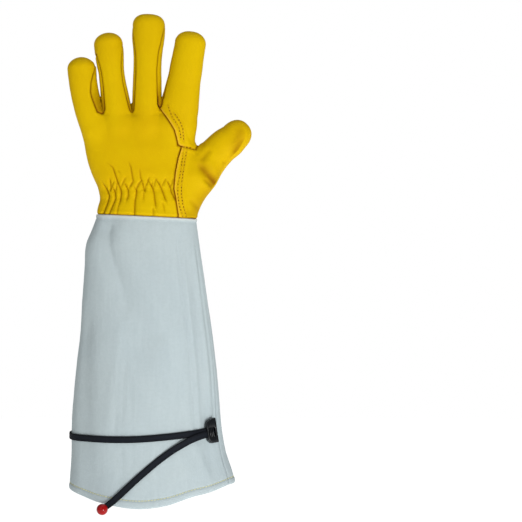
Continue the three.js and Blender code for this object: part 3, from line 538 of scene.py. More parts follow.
# Gathers above the wrist: a line seen from the front, and its strength
GATHERS = [
    ([(-43.6, 32.5), (-40.6, 28.4), (-37.9, 23.1), (-35.5, 18), (-36.9, 12.4), (-39, 6.5), (-41.5, 0)], 1),
    ([(-35.2, 35.5), (-34.1, 30.7), (-34, 26.6), (-34.6, 21.3)], 0.8),
    ([(-34, 30.2), (-31.8, 25.4), (-29.8, 20.7), (-29.2, 15.4), (-31.7, 9.4), (-35.5, 0)], 0.9),
    ([(-38.8, 50.3), (-35, 47.9), (-31.8, 44.9), (-29.8, 39), (-27.3, 31.3), (-24.5, 23.9), (-23.7, 20.1),
      (-24.6, 13.6), (-27, 5)], 1),
    ([(-27.3, 42.9), (-23.9, 38.4)], 0.35),
    ([(-27.3, 31.3), (-28.2, 26.6), (-29.2, 21.9)], 0.6),
    ([(-21.7, 32.5), (-19.3, 27.8), (-17.2, 23.1), (-16.9, 18.9), (-18.9, 12)], 0.8),
    ([(-17.2, 52), (-14.3, 44.4), (-13.1, 36.7), (-12.2, 31.9), (-14.6, 27.8), (-17.2, 22.5)], 0.8),
    ([(-12.7, 29.3), (-10.4, 25.4), (-9, 22.2), (-9.4, 18.3), (-10.4, 13.6), (-10.7, -1)], 0.9),
    ([(-6.2, 45), (-5.4, 36.1), (-4.2, 32.5), (-6.6, 29.6), (-8.7, 25.4), (-9.4, 20.7)], 0.7),
    ([(-4.4, 33.5), (-2.4, 26.6), (-1.1, 21)], 0.8),
    ([(3.6, 37), (1.7, 31.3), (-0.4, 26.6), (-1.2, 20)], 0.6),
    ([(0.6, 35), (3.9, 29.6), (6.4, 24.8), (7.6, 20.7), (8.5, 13.6), (10, 4)], 0.9),
    ([(6.8, 32), (5.2, 25.6)], 0.4),
    ([(8, 36), (13.2, 27.8), (15.3, 23.1), (17.4, 17.1), (19.9, 10.5)], 0.9),
    ([(19.2, 35.5), (16.8, 30.7), (14.6, 26)], 0.5),
    ([(18.5, 34.5), (22.7, 26.6), (24.2, 21.3), (26.2, 16.5), (28.3, 12)], 0.9),
    ([(25.8, 35.5), (24.5, 29.6), (22.4, 25.5)], 0.5),
    ([(-19.2, 36), (-21.5, 31.5), (-24.2, 25)], 0.5),
    ([(10.2, 35), (8.3, 29.8), (6.5, 24)], 0.5),
    ([(-30, 33.5), (-32.2, 28), (-34.5, 22)], 0.45),
    ([(-2.3, 22), (-2.4, 13)], 0.35),
    ([(6.6, 7), (7.4, -1)], 0.45),
    ([(-26.5, 9), (-27.5, -1)], 0.35),
    ([(15.5, 12), (18, 2)], 0.35),
]
# Folds: a line, its half width and its depth
THUMB_FOLDS = [
    ([(47, 51), (55, 42), (66, 29.5)], 4.2, 1.9),
    ([(53.2, 35.4), (61.2, 28.0)], 1.7, 0.8),
    ([(94.7, 75.5), (89.4, 68.2), (84.3, 60.9)], 2.6, 0.9),
    ([(50.5, 50.0), (59.0, 60.6)], 2.6, 0.8),
    ([(71.3, 52.0), (78.0, 47.3)], 2, 0.5),
    ([(40, 16), (49, 6)], 2.4, 0.5),
]
# Painted shade beside the thumb's folds: a line, its half width and its strength
THUMB_SHADES = [
    ([(44, 0), (56, 18), (68, 32), (78, 42), (88, 52)], 7, 0.34),
    ([(89, 79), (86, 68), (84, 58)], 5, 0.34),
    ([(54, 50), (62, 38)], 6, 0.16),
]
PALM_FOLDS = [
    ([(40, 58), (31, 44), (24, 24), (22, 8)], 3, 0.7),
    ([(-40, 66), (-14, 60), (14, 68), (34, 78)], 2.6, 0.5),
    ([(-36, 12), (-33, 3)], 1.4, 0.7),
    ([(-22, 15), (-21, 3)], 1.3, 0.6),
    ([(-8, 13), (-8, 2)], 1.4, 0.7),
    ([(7, 16), (6, 2)], 1.3, 0.6),
    ([(20, 12), (19, 1)], 1.4, 0.6),
]
ELASTIC_HEIGHT = 23.5
RAW_EDGE = (0.4, 1.4)  # the lapped leather's cut edge shows from here to there beside its seam
CREASE_HALF = 0.55  # half width of the band of fine mesh about each gather's line
# Rows of stitches beside the lapped seam, seen from the front
STITCH_ROWS = [
    [(20.2, 104.9), (24.4, 93.1), (27.7, 88.1), (30.8, 82.6), (32.4, 76.9), (32.7, 72.1)],
    [(25.4, 97.6), (29.3, 92.5), (32.5, 87.4), (34.6, 81.6), (35, 75.8), (35.3, 70.2)],
    [(35.1, 62.6), (33.7, 49.9), (32.4, 39.8), (30.1, 28.8), (30, 18.7), (31.7, 8), (34.6, -1)],
    [(38.2, 62.6), (36.2, 49.9), (34.6, 38.4), (33.5, 28.8), (33.4, 19.2), (34.9, 9), (37.8, -1)],
]
CROSS_ROWS = [[(35.3, 64.6), (38.9, 64.4), (44.4, 63.3)]]
STITCH_PITCH = 3.1
# Length and radius of a thread
HAND_THREAD = (2.1, 0.42)
HEM_THREAD = (2.3, 0.38)
HEM_PITCH = 3
NEEDLE_HOLE = 0.56


def beside(p, line, half):
    """Signed distance to a line's own stretch for a half width of zero, otherwise to the edge of a band about
    it. It is positive everywhere before the middle plane."""
    x, y, z = p.T
    d, share = line_distance(x, z, line)
    if half:
        return np.where(y < curl(z), d - half, 1)
    a, b = (np.array(line)[k] for k in (slice(None, -1), slice(1, None)))
    ways = b - a
    middle = (a + b) / 2
    own = np.argmin(np.hypot(x[:, None] - middle[:, 0], z[:, None] - middle[:, 1]), axis=1)
    side = ways[own, 0] * (z - a[own, 1]) - ways[own, 1] * (x - a[own, 0])
    return np.where((y < curl(z)) & (share > 0) & (share < 1) & (d < 3), d * np.sign(side), 3)


def undulation(p, length, seed):
    """Slow waves in all directions: a sum of sines whose phases follow the seed."""
    rng = np.random.default_rng(seed)
    total = np.zeros(len(p))
    for _ in range(7):
        way = rng.normal(size=3)
        way /= np.linalg.norm(way) * length * rng.uniform(0.6, 1.4)
        total += np.sin(p @ way * 2 * math.pi + rng.uniform(0, 2 * math.pi))
    return total / 7


def edge_samples(points, faces):
    """Points along a panel's free edges, four to each edge."""
    edges, count = np.unique(edges_of(faces), axis=0, return_counts=True)
    a, b = points[edges[count == 1].T]
    return np.vstack([mix(a, b, t) for t in (0, 0.25, 0.5, 0.75)])


def nearest(points, others):
    """Each point's distance to the nearest of the others, worked out in blocks."""
    if not len(others):
        return np.full(len(points), 1e3)
    size = (others**2).sum(1)
    blocks = np.array_split(points, max(1, len(points) // 3000))
    return np.sqrt(np.concatenate([
        np.maximum(0, ((q**2).sum(1)[:, None] + size - 2 * q @ others.T).min(1)) for q in blocks
    ]))


def hand_relief(panel, p, samples):
    """What stands off the smooth hand, how dark it is painted and how raw its edge is: seams pulled in with
    a soft ridge beside them, the lapped edge laid on top, gathers, folds and slow waves. The darkness is
    darker
    seams and painted shade: in the folds and gathers, at the lapped edge, along the stitch rows, between the
    fingers and beside the thumb's folds."""
    x, y, z = p.T
    behind = y < curl(z) - 1
    lap_line = lapped_line + thumb_back_line
    near_lap = line_distance(samples[:, 0], samples[:, 2], lap_line)[0] < 0.6
    on_lap = near_lap & (samples[:, 1] < curl(samples[:, 2]))
    seam, lap = nearest(p, samples[~on_lap]), nearest(p, samples[on_lap])
    height = -0.8 * bump(seam, 1.0) + 0.28 * bump(seam - 2.7, 1.5)
    dark = 0.7 * bump(seam, 0.75)
    raw = np.zeros(len(p))
    if panel == "back_panel":
        height += -0.4 * bump(lap, 1.3)
        # Painted shadow of the lapped edge on the back panel beneath it.
        dark += 1.3 * bump(lap, 1.2)
    else:
        height += 0.85 * (1 - ease((lap - 7) / 4.5)) * (lap < 90)
        raw = ease(lap / RAW_EDGE[0]) * ease((RAW_EDGE[1] + 0.3 - lap) / 0.6) * 0.5
        # A thin painted shadow line along the lapped piece's edge.
        dark += 0.8 * bump(lap, 0.3)
        for row in STITCH_ROWS:
            d = line_distance(x, z, row)[0]
            height -= 0.3 * bump(d, 0.7) * behind
            # Painted shade along the groove of each stitch row.
            dark += 0.22 * bump(d, 0.8) * behind
    # Painted shade between the fingers, darker towards each crotch.
    if panel in FOURCHETTES:
        low = FOURCHETTES[panel][2][1] * PALM_LENGTH
        dark += 0.55 * ease((low + 32 - z) / 32)
    height += 0.3 * undulation(p, 34, 5) + 0.12 * undulation(p, 12, 9)
    gathered = np.zeros(len(p))
    closest = np.full(len(p), 1e3)
    for line, strength in GATHERS:
        d, share = line_distance(x, z, line)
        low_end = 1 if line[-1][1] < 1 else 0
        taper = ease(share / 0.3 + 0.08) * np.maximum(low_end, ease((1 - share) / 0.25 + 0.05))
        gathered += strength * taper * (-0.65 * bump(d, 0.75) + 0.42 * bump(d - 1.8, 0.9))
        closest = np.minimum(closest, d + (1 - taper * strength) * 3)
        # Painted shade in the groove of each gather.
        dark += 0.85 * strength * taper * bump(d, 0.55) * behind
    zone = ease((50 - z) / 30) * ease((x + 50) / 8) * ease((34 - x) / 8)
    puff = 1.7 * zone * (1 - bump(closest, 3.0)) - 0.5 * zone
    elastic = -0.55 * bump(z - ELASTIC_HEIGHT, 2.6) * ease((x + 46) / 4) * ease((30 - x) / 4)
    wrist = ease(-(y - curl(z)) / 8)
    height += wrist * (gathered + puff + elastic) * (panel == "back_panel")
    for folds, side in ((THUMB_FOLDS, behind), (PALM_FOLDS, ~behind)):
        for line, width, depth in folds:
            d, share = line_distance(x, z, line)
            taper = ease(share / 0.35) * (1 if side is behind else ease((1 - share) / 0.35))
            away = ease(np.abs(y - curl(z)) / 5)
            height += side * away * taper * depth * (-bump(d, width) + 0.35 * bump(d - 2 * width, width))
            # Painted shade in each fold.
            dark += side * taper * 0.28 * depth * bump(d, 0.8 * width)
    # Painted shade beside the thumb's folds.
    for line, width, strength in THUMB_SHADES:
        dark += behind * strength * bump(line_distance(x, z, line)[0], width)
    return height, np.clip(dark, 0, 1), raw


# Meshes
def grid_faces(rows, columns, around=False, over=False):
    """The squares of a grid of points, joined up round its columns or its rows where asked."""
    i, j = np.indices((rows if over else rows - 1, columns if around else columns - 1)).reshape(2, -1)
    k, n = (i + 1) % rows, (j + 1) % columns
    return np.column_stack([i * columns + j, i * columns + n, k * columns + n, k * columns + j])


def make_piece(name, points, faces, finish, slot, nodes=(), uv=None, **shares):
    """Points in millimetres and faces, made one mesh on the body. Each share is an attribute that its finish
    reads."""
    mesh = bpy.data.meshes.new(name)
    mesh.from_pydata((np.asarray(points) * MM).tolist(), [], [list(f) for f in faces])
    mesh.polygons.foreach_set("use_smooth", np.ones(len(mesh.polygons), bool))
    if uv is not None:
        corners = np.empty(len(mesh.loops), int)
        mesh.loops.foreach_get("vertex_index", corners)
        mesh.uv_layers.new(name="along").data.foreach_set("uv", np.asarray(uv)[corners].ravel())
    for share, values in shares.items():
        mesh.attributes.new(share, "FLOAT", "POINT").data.foreach_set("value", np.asarray(values, np.float32))
    mesh.materials.append(finish)
    mesh.update()
    piece = bpy.data.objects.new(name, mesh)
    bpy.context.scene.collection.objects.link(piece)
    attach(piece, "root")
    if nodes:
        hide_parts(*nodes)
    return piece


def thicken(piece, wall):
    """Gives a skin its leather, inwards."""
    solid = piece.modifiers.new("leather", "SOLIDIFY")
    solid.thickness, solid.offset, solid.use_even_offset = wall * MM, -1, False
    return piece


# Cuff
def rounded(angle, squareness):
    c, s = np.cos(np.radians(angle)), np.sin(np.radians(angle))
    power = 2 / squareness
    return np.sign(c) * np.abs(c) ** power, np.sign(s) * np.abs(s) ** power


def fold(angle, down, row, fade):
    """A bell across the line from one angle and height to another, which fades out past the line's ends."""
    from_angle, from_down, to_angle, to_down, spread = row[:5]
    t = np.clip((down - from_down) / (to_down - from_down), 0, 1)
    away = np.mod(angle - mix(from_angle, to_angle, t) + 180, 360) - 180
    past = np.maximum(0, np.maximum(from_down - down, down - to_down))
    return np.exp(-((away / spread) ** 2) - (past / fade) ** 2)


def cuff_point(angle, down, lift=0.0):
    """A rounded section that widens from wrist to mouth, off centre by its table, moved out by the folds."""
    angle, down = np.broadcast_arrays(np.asarray(angle, float), np.asarray(down, float))
    left, right = along(CUFF, down, 1), along(CUFF, down, 2)
    wide, deep = mix(WRIST_WIDTH, MOUTH_WIDTH, down), mix(WRIST_DEPTH, MOUTH_DEPTH, down)
    c, s = rounded(angle, mix(SQUARENESS, 2, np.clip(down * 2, 0, 1)))
    half, centre = (left + right) * wide / 2, (right - left) * wide / 2
    out = unit(np.stack([c / half, s / (deep / 2), np.zeros_like(c)], -1))
    height = np.zeros_like(c) + lift
    for row in CUFF_FOLDS:
        height = height + row[5] * fold(angle, down, row, 0.09) * ease(down / 0.06)
    return np.stack([centre + half * c, deep / 2 * s, -down * CUFF_LENGTH], -1) + out * height[..., None]


def cuff_normal(angle, down):
    around = cuff_point(angle + 0.4, down) - cuff_point(angle - 0.4, down)
    fall = cuff_point(angle, down + 0.004) - cuff_point(angle, down - 0.004)
    return unit(np.cross(fall, around))


def hem_at(x):
    return along(HEM, np.clip(x / MOUTH_WIDTH + 0.475, 0, 1), 1)


# Finer folds: angle and share of the length at both ends, spread in degrees, height in mm, painted shade in
# the fold
FINE_FOLDS = [
    (-52, 0.1, -47, 0.74, 2.6, -1.1, 0),
    (-46, 0.16, -42, 0.7, 2.2, 0.6, 0),
    (-21.2, 0.13, -23.2, 0.7, 1.4, -1.0, 0.3),
    (-27, 0.16, -29, 0.68, 2.8, 0.8, 0),
    (-128, 0.06, -104, 0.3, 4, -0.8, 0),
    (-112, 0.42, -118, 0.72, 5, 0.6, 0),
    (-105, 0.52, -108, 0.9, 1.8, -0.35, 0),
    (-100, 0.6, -98, 0.97, 1.6, -0.3, 0),
    (-112, 0.7, -111, 0.95, 1.5, -0.3, 0),
    (-93, 0.78, -90, 0.97, 1.7, -0.28, 0),
    (-46, 0.82, -42, 0.96, 3.6, 0.6, 0),
    (-60, 0.8, -64, 0.96, 3, -0.5, 0),
    (70, 0.08, 62, 0.4, 3.6, -0.9, 0),
    (96, 0.05, 100, 0.3, 4, 0.8, 0),
    (120, 0.4, 118, 0.8, 4, -0.7, 0),
    (44, 0.5, 50, 0.9, 4, -0.7, 0),
]
HEM_STITCH = 7.6  # from the hem's fold up to its row of stitches
FINE_ROWS = 12  # how far up from the hem its rows of mesh lie closer
SEAM_OPENING = math.degrees(0.01 / 60)


def cuff_relief(angle, down, row, edge, p):
    """What stands off the smooth cuff, and the shade painted into its folds: fine folds, slow waves, the
    raised edge at the wrist seam, the pulled-in side seams with a ridge beside them, and the groove and
    puckers along the hem's stitches."""
    height = 0.35 * undulation(p.reshape(-1, 3), 46, 3).reshape(down.shape)
    height += 0.1 * undulation(p.reshape(-1, 3), 15, 4).reshape(down.shape)
    crease = np.zeros_like(height)
    for fine in FINE_FOLDS:
        across = fold(angle, down, fine, 0.04)
        height += fine[5] * across
        # Painted shade in the fold.
        crease += fine[6] * across**2
    below = row * CUFF_LENGTH
    above = (1 - row) * CUFF_LENGTH
    height = height * ease(below / 14) * mix(0.45, 1, ease(above / 25))
    height += 0.5 * bump(below - 1.2, 1.2) - 0.35 * bump(below - 3.8, 1.3)
    height += -0.6 * bump(edge, 1.1) + 0.25 * bump(edge - 3, 1.7)
    pucker = 0.12 * np.sin(p[..., 0] * 2 * math.pi / 3.3) * bump(above - HEM_STITCH, 2.4)
    return height - 0.55 * bump(above - HEM_STITCH, 1.0) + 0.3 * bump(above - 4.2, 2.4) + pucker, crease


def cuff_panel(name, start, end, finish):
    """A grid over the panel, from seam to seam and from wrist to hem, whose last rows turn round the hem's
    fold in a half circle and run up inside. The skin is then thickened inwards."""
    columns, rows, fold_rows, inner_rows = ((130, 150, 7, 8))
    turn = CUFF_LEATHER + 0.05
    row = np.concatenate([
        np.linspace(0, 1 - FINE_ROWS / CUFF_LENGTH, rows),
        np.linspace(1 - (FINE_ROWS - 0.8) / CUFF_LENGTH, 1, 16),
    ])
    row = row * (1 - turn / CUFF_LENGTH)
    share = np.linspace(0, 1, columns)
    first, last = (mix(seam[0], seam[1], row)[:, None] for seam in (start, end))
    angle = mix(first + SEAM_OPENING, last - SEAM_OPENING, share[None])
    row = np.broadcast_to(row[:, None], angle.shape)
    smooth = cuff_point(angle, row)
    down = row * mix(1, hem_at(smooth[..., 0]), row**3)
    p, normal = cuff_point(angle, down), cuff_normal(angle, down)
    width = np.linalg.norm(np.diff(p, axis=1), axis=-1).sum(1)[:, None]
    edge = np.minimum(share[None] * width, (1 - share[None]) * width)
    height, crease = cuff_relief(angle, down, row, edge, p)
    p = p + normal * height[..., None]
    seam = seam_height(smooth[..., 0]) - 0.3
    p[..., 2] += seam * (1 - np.clip(row / 0.2, 0, 1)) ** 2
    up = unit(p[-2] - p[-1])
    middle = p[-1] - normal[-1] * turn
    bend = np.linspace(0, math.pi, fold_rows + 1)[1:, None, None]
    folded = middle[None] + turn * (np.cos(bend) * normal[-1][None] - np.sin(bend) * up[None])
    to_hem = (1 - row[:, 0]) * CUFF_LENGTH
    rising = []
    for climb in np.linspace(0, HEM_WIDTH, inner_rows + 1)[1:]:
        level = np.interp(climb, to_hem[::-1], np.arange(len(p))[::-1])
        below, t = int(level), level - int(level)
        above = min(below + 1, len(p) - 1)
        rising.append(mix(p[below], p[above], t) - mix(normal[below], normal[above], t) * 2 * turn)
    at = np.interp(HEM_STITCH, to_hem[::-1], np.arange(len(p))[::-1])
    stitch_line = mix(p[int(at)], p[int(at) + 1], at - int(at)), normal[int(at)]
    points = np.concatenate([p, folded, np.array(rising)])
    faces = grid_faces(*points.shape[:2])[:, ::-1]
    across = np.broadcast_to(share[None] * 150, points.shape[:2])
    fall = np.broadcast_to(np.arange(len(points))[:, None] * 1.9, points.shape[:2])
    turned = len(points) - len(row)
    edge = np.concatenate([edge, np.repeat(edge[-1:], turned, 0)])
    top = np.concatenate([row[:, 0] * CUFF_LENGTH, np.full(turned, CUFF_LENGTH)])[:, None]
    stitch = np.concatenate([to_hem, np.full(turned, 99)])[:, None] - HEM_STITCH
    # Darker at the side seams and the wrist seam, painted shade along the hem's stitch groove, and the fine
    # folds' painted shade.
    dark = 0.35 * bump(edge, 0.8) + 0.3 * bump(top + 0.3, 0.5) + 0.5 * bump(stitch, 0.7)
    dark[:len(crease)] += crease
    raw_edge = 0.8 * ease((2 - top) / 0.8) * np.ones(edge.shape)
    piece = make_piece(name + "_leather", points.reshape(-1, 3), faces, finish, "split_leather", [name],
                       uv=np.stack([across, fall], -1).reshape(-1, 2), crease=np.clip(dark, 0, 1).ravel(),
                       raw_edge=raw_edge.ravel())
    thicken(piece, CUFF_LEATHER)
    return stitch_line


# Buckle, laid out flat: x along the tape, y up the cuff, z out of it
BUCKLE_ANGLE = -31.0
BUCKLE_DOWN = 0.744
BUCKLE_TILT = 6
BUCKLE_WIDTH = 10.6
BUCKLE_HEIGHT = 23.6
BUCKLE_CORNER = 4.5
BUCKLE_DEPTH = 5.3
SLOT_MIDDLE = -1.45
SLOT_HEIGHT = 9.85
LOW_LAYER = 1.9
HIGH_LAYER = 3.4
SLOT_END = 2.3
LAYER_OFFSET = 2.9
BALL_DIAMETER = 10.6


def buckle_axes():
    out = cuff_normal(np.array(BUCKLE_ANGLE), np.array(BUCKLE_DOWN))
    level = cuff_point(BUCKLE_ANGLE + 1, BUCKLE_DOWN) - cuff_point(BUCKLE_ANGLE - 1, BUCKLE_DOWN)
    across = unit(level - out * (level @ out))
    tilt = math.radians(BUCKLE_TILT)
    across = across * math.cos(tilt) + np.cross(out, across) * math.sin(tilt)
    return np.array([across, np.cross(out, across), out]), cuff_point(BUCKLE_ANGLE, BUCKLE_DOWN, 0.5)


BUCKLE_AXES, BUCKLE_PLACE = buckle_axes()


def in_buckle(p):
    return BUCKLE_PLACE + np.asarray(p, float) @ BUCKLE_AXES


# The held tape's way round the cuff: angle, down, lift
TAPE_SEWN = 154.5  # the angle at which the tape dips into the little finger's side seam
TAPE_ROUTE = np.array([
    [157, 0.763, 0],
    [172, 0.765, 0.1],
    [186, 0.766, 0.3],
    [204, 0.768, 0.1],
    [230, 0.768, 0],
    [262, 0.766, 0],
    [290, 0.757, 0],
    [306, 0.751, 0.5],
])
# The free end's way from the buckle to the ball: across, up, lift
TAIL_ROUTE = [
    (46, -210.2, 2.9),
    (40, -212.8, 2.4),
    (33.2, -216.6, 1.9),
    (26, -221, 1),
    (13.6, -230, 0.4),
    (0, -241.4, 0.4),
    (-11, -251.4, 0.6),
    (-21.6, -261.6, 1),
    (-31, -270.2, 1.7),
]
BALL_PLACE = (-35.8, -275, 2.6)
TAPE_SQUARENESS = 3.2
# The braid in millimetres: the pitch along the tape and across it of its ribs, and then of its finer yarns
RIBS = (2.3, 2.6)
RIB_HEIGHT = 0.1
CHEVRON = (1.15, 1.3)
YARN_PITCH = 0.53


def angle_at(x, down):
    """The angle round the cuff of a place seen from the back."""
    wide = mix(WRIST_WIDTH, MOUTH_WIDTH, down)
    left, right = wide * along(CUFF, down, 1), wide * along(CUFF, down, 2)
    return -np.degrees(np.arccos((x - (right - left) / 2) / ((right + left) / 2)))


def seat(row, half):
    x, z, lift = row
    down = -z / CUFF_LENGTH
    return cuff_point(angle_at(x, down), down, lift + 0.3 + half)


def smooth_way(points, count):
    """A centripetal Catmull-Rom curve through the points, as that many places at even spacing along it."""
    points = np.asarray(points, float)
    points = np.vstack([2 * points[0] - points[1], points, 2 * points[-1] - points[-2]])
    fine = []
    for a, b, c, d in zip(points[:-3], points[1:-2], points[2:-1], points[3:]):
        u, v, w = (max(1e-4, np.linalg.norm(q - p)) ** 0.5 for p, q in ((a, b), (b, c), (c, d)))
        start = ((b - a) / u - (c - a) / (u + v) + (c - b) / v) * v
        end = ((c - b) / v - (d - b) / (v + w) + (d - c) / w) * v
        t = np.linspace(0, 1, 60, endpoint=False)[:, None]
        square, cube = 3 * (c - b) - 2 * start - end, 2 * (b - c) + start + end
        fine.append(b + start * t + square * t**2 + cube * t**3)
    fine = np.vstack(fine + [points[-2:-1]])
    run = run_along(fine)
    return at_run(np.linspace(0, run[-1], count), run, fine)


def held_way():
    """The points and facings of the tape that is held round the cuff."""
    angle = np.linspace(TAPE_SEWN, TAPE_ROUTE[-1, 0], 82)
    down, lift = along(TAPE_ROUTE, angle, 1), np.maximum(0, along(TAPE_ROUTE, angle, 2))
    lift = lift - 1.5 * ease((TAPE_SEWN + 1.8 - angle) / 1.8)
    points = cuff_point(angle, down, lift + 0.55 + TAPE_THICKNESS / 2)
    ends = in_buckle([(x, 0, LOW_LAYER) for x in (-BUCKLE_WIDTH / 2 - 2.5, -BUCKLE_WIDTH / 2 + 1, SLOT_END)])
    facings = np.vstack([cuff_normal(angle, down), np.repeat(BUCKLE_AXES[2:], 3, 0)])
    way = np.vstack([points, ends])
    run = run_along(way)
    count = int(run[-1] / 0.5)
    return smooth_way(way, count), unit(at_run(np.linspace(0, run[-1], count), run, facings))


def tail_way():
    """The points and facings of the tape's free end, from the buckle's slot into the ball, the ball's centre
    and the way from the last laid point to it."""
    laid = np.array([seat(row, TAPE_THICKNESS / 2) for row in TAIL_ROUTE])
    ball = seat(BALL_PLACE, BALL_DIAMETER / 2)
    start = in_buckle([(x, -LAYER_OFFSET, HIGH_LAYER) for x in (SLOT_END, 0, -BUCKLE_WIDTH / 2 - 2)])
    to_ball = unit(ball - laid[-1])
    end = ball - to_ball * (BALL_DIAMETER / 2 - 0.8)
    way = smooth_way(np.vstack([start, laid, end]), 260)
    down = np.minimum(0.98, -way[:, 2] / CUFF_LENGTH)
    own = cuff_normal(angle_at(way[:, 0], -way[:, 2] / CUFF_LENGTH), down)
    t = np.clip((np.linspace(0, 1, len(way)) - 0.14) / 0.12, 0, 1)[:, None]
    return way, unit(mix(BUCKLE_AXES[2], own, t)), ball, to_ball


def tape_skin(way, facing, sides=28):
    """A flat rounded section carried along a way, with the braid's ribs standing off its faces: two sets of
    slanting ridges that meet along the middle."""
    a, b = TAPE_WIDTH / 2, TAPE_THICKNESS / 2
    tangent = unit(np.gradient(way, axis=0))
    facing = square_to(facing, tangent)
    side = np.cross(tangent, facing)
    run = run_along(way)
    c, s = rounded(np.arange(sides) * 360 / sides, TAPE_SQUARENESS)
    u, v = a * c, b * s
    ribs = RIB_HEIGHT * np.cos(2 * math.pi * (run[:, None] / RIBS[0] - np.abs(u)[None] / RIBS[1]))
    ribs = ribs * (np.abs(c) < 0.97)[None] - RIB_HEIGHT * bump(np.abs(u)[None], 0.25)
    off = np.stack([np.broadcast_to(u, ribs.shape), v[None] + np.sign(s)[None] * ribs], -1)
    points = way[:, None] + side[:, None] * off[..., :1] + facing[:, None] * off[..., 1:]
    rows = len(way)
    faces = grid_faces(rows, sides, around=True).tolist()
    first, last = rows * sides, rows * sides + 1
    faces += [[(j + 1) % sides, j, first] for j in range(sides)]
    end_ring = first - sides
    faces += [[end_ring + j, end_ring + (j + 1) % sides, last] for j in range(sides)]
    points = np.vstack([points.reshape(-1, 3), way[:1], way[-1:]])
    uv = np.stack(np.broadcast_arrays(u[None], run[:, None]), -1).reshape(-1, 2)
    return points, faces, np.vstack([uv, [[0, 0], [0, run[-1]]]]), run[-1]


def ring_skin(outline, inner, profile):
    """A frame between two outlines of equal count, carried round a section: each row of the profile gives the
    share from the outer to the inner outline, how far it is drawn in, and its height at each place."""
    centre = outline.mean(0)
    rows = []
    for share, drawn, height in profile:
        line = mix(outline, inner, share)
        line = line + unit(centre - line) * drawn
        rows.append(np.column_stack([line, np.broadcast_to(height, len(line))]))
    return np.array(rows)


def even_outline(corners, count, smooth=5):
    """A closed outline resampled evenly, with its corners eased by averaging neighbours."""
    corners = np.vstack([corners, corners[:1]])
    run = run_along(corners)
    line = at_run(np.arange(count) * run[-1] / count, run, corners)
    for _ in range(smooth):
        line = (np.roll(line, 1, 0) + 2 * line + np.roll(line, -1, 0)) / 4
    return line


def buckle_skin():
    """The buckle as grids: a sole, a front frame whose wall is open for the tape, and bowed ribs."""
    w, h, r = BUCKLE_WIDTH / 2, BUCKLE_HEIGHT / 2, BUCKLE_CORNER
    bend = np.linspace(0, 1, 7)[:, None]
    weights = (1 - bend) ** 2, 2 * bend * (1 - bend), bend**2
    pulls = [-w + 1.35 * r, h - 0.9], [-w, h - 1.8], [-w, h - 1.7 * r]
    corner = weights[0] * pulls[0] + weights[1] * pulls[1] + weights[2] * pulls[2]
    outline = np.vstack([[(w, -h), (w, h)], corner, [(-w, -h + 0.7 * r), (-w + 0.7 * r, -h)]])
    outer = even_outline(outline, 180)
    low, high = SLOT_MIDDLE - SLOT_HEIGHT / 2 + 0.5, SLOT_MIDDLE + SLOT_HEIGHT / 2 - 0.5
    left, right = -w + 1.6, w - 2
    angle = np.arctan2(outer[:, 1] - SLOT_MIDDLE, (outer[:, 0] - (left + right) / 2) * 1.6)
    c, s = rounded(np.degrees(angle), 6)
    inner = np.column_stack([(left + right) / 2 + c * (right - left) / 2, SLOT_MIDDLE + s * (high - low) / 2])
    opening = ease((outer[:, 0] < 0) * (SLOT_HEIGHT / 2 + 0.2 - np.abs(outer[:, 1] - SLOT_MIDDLE)) / 0.4)
    foot = mix(1, BUCKLE_DEPTH - 1, opening)
    top, inner_foot = BUCKLE_DEPTH, BUCKLE_DEPTH - 1.1
    frame_profile = [
        (0.5, 0, mix(foot, inner_foot, 0.5)), (0.04, 0, foot), (0, 0, foot + 0.15),
        (0, 0, mix(foot, top, 0.5)), (0, 0, top - 0.5), (0, 0.15, top - 0.15), (0, 0.5, top),
        (0.5, 0.1, top + 0.1), (1, -0.45, top), (1, -0.1, top - 0.15), (1, 0, top - 0.5),
        (1, 0, inner_foot), (0.75, 0, inner_foot),
    ]
    sole_profile = [
        (1, 0, 0.1), (0, 0.5, 0.1), (0, 0.1, 0.25), (0, 0, 0.5), (0, 0, 0.95), (0, 0.3, 1.15), (1, 0, 1.15),
    ]
    grids = [
        (ring_skin(outer, inner, frame_profile), True),
        (ring_skin(outer, outer * 0.02, sole_profile), False),
    ]
    for k in range(3):
        x0 = left + (right - left) * (k + 1) / 4 - 0.15
        t = np.linspace(-1, 1, 25)[:, None, None]
        turn = np.linspace(0, 2 * math.pi, 16, endpoint=False)[None, :, None]
        bow = 0.55 * (1 - t**2)
        x = x0 - bow + 0.62 * np.cos(turn)
        y = SLOT_MIDDLE + t * ((high - low) / 2 + 0.6) + 0 * turn
        z = BUCKLE_DEPTH - 0.75 + 0.5 * (1 - t**2) + 0.62 * np.sin(turn)
        grids.append((np.concatenate([x, y, z], -1), False))
    points, faces, used = [], [], 0
    for rows, over in grids:
        faces.append(grid_faces(rows.shape[0], rows.shape[1], around=True, over=over) + used)
        points.append(rows.reshape(-1, 3))
        used += points[-1].shape[0]
    return in_buckle(np.vstack(points)), np.vstack(faces)


def ball_skin(centre, axis, rows=48, sides=64):
    """A ball turned about the tape's direction: radius 1 with a fine moulding line round its middle, and a
    shallow mouth round the tape, whose depth is a bell of the distance from the axis."""
    side = unit(np.cross(axis, [0, -1, 0.2]))
    up = np.cross(axis, side)
    polar = np.linspace(0, math.pi, rows + 1)[:, None]
    around = (np.arange(sides) * 2 * math.pi / sides)[None]
    line, mouth = bump(polar - math.pi / 2, 0.035), bump(math.pi - polar, 0.3)
    radius = BALL_DIAMETER / 2 * (1 - 0.012 * line - 0.05 * mouth) + 0 * around
    axis, side, up = (way.reshape(3, 1, 1) for way in (axis, side, up))
    ways = np.cos(polar) * axis + np.sin(polar) * (np.cos(around) * side + np.sin(around) * up)
    points = centre + np.moveaxis(ways * radius, 0, -1)
    return points.reshape(-1, 3), grid_faces(rows + 1, sides, around=True)


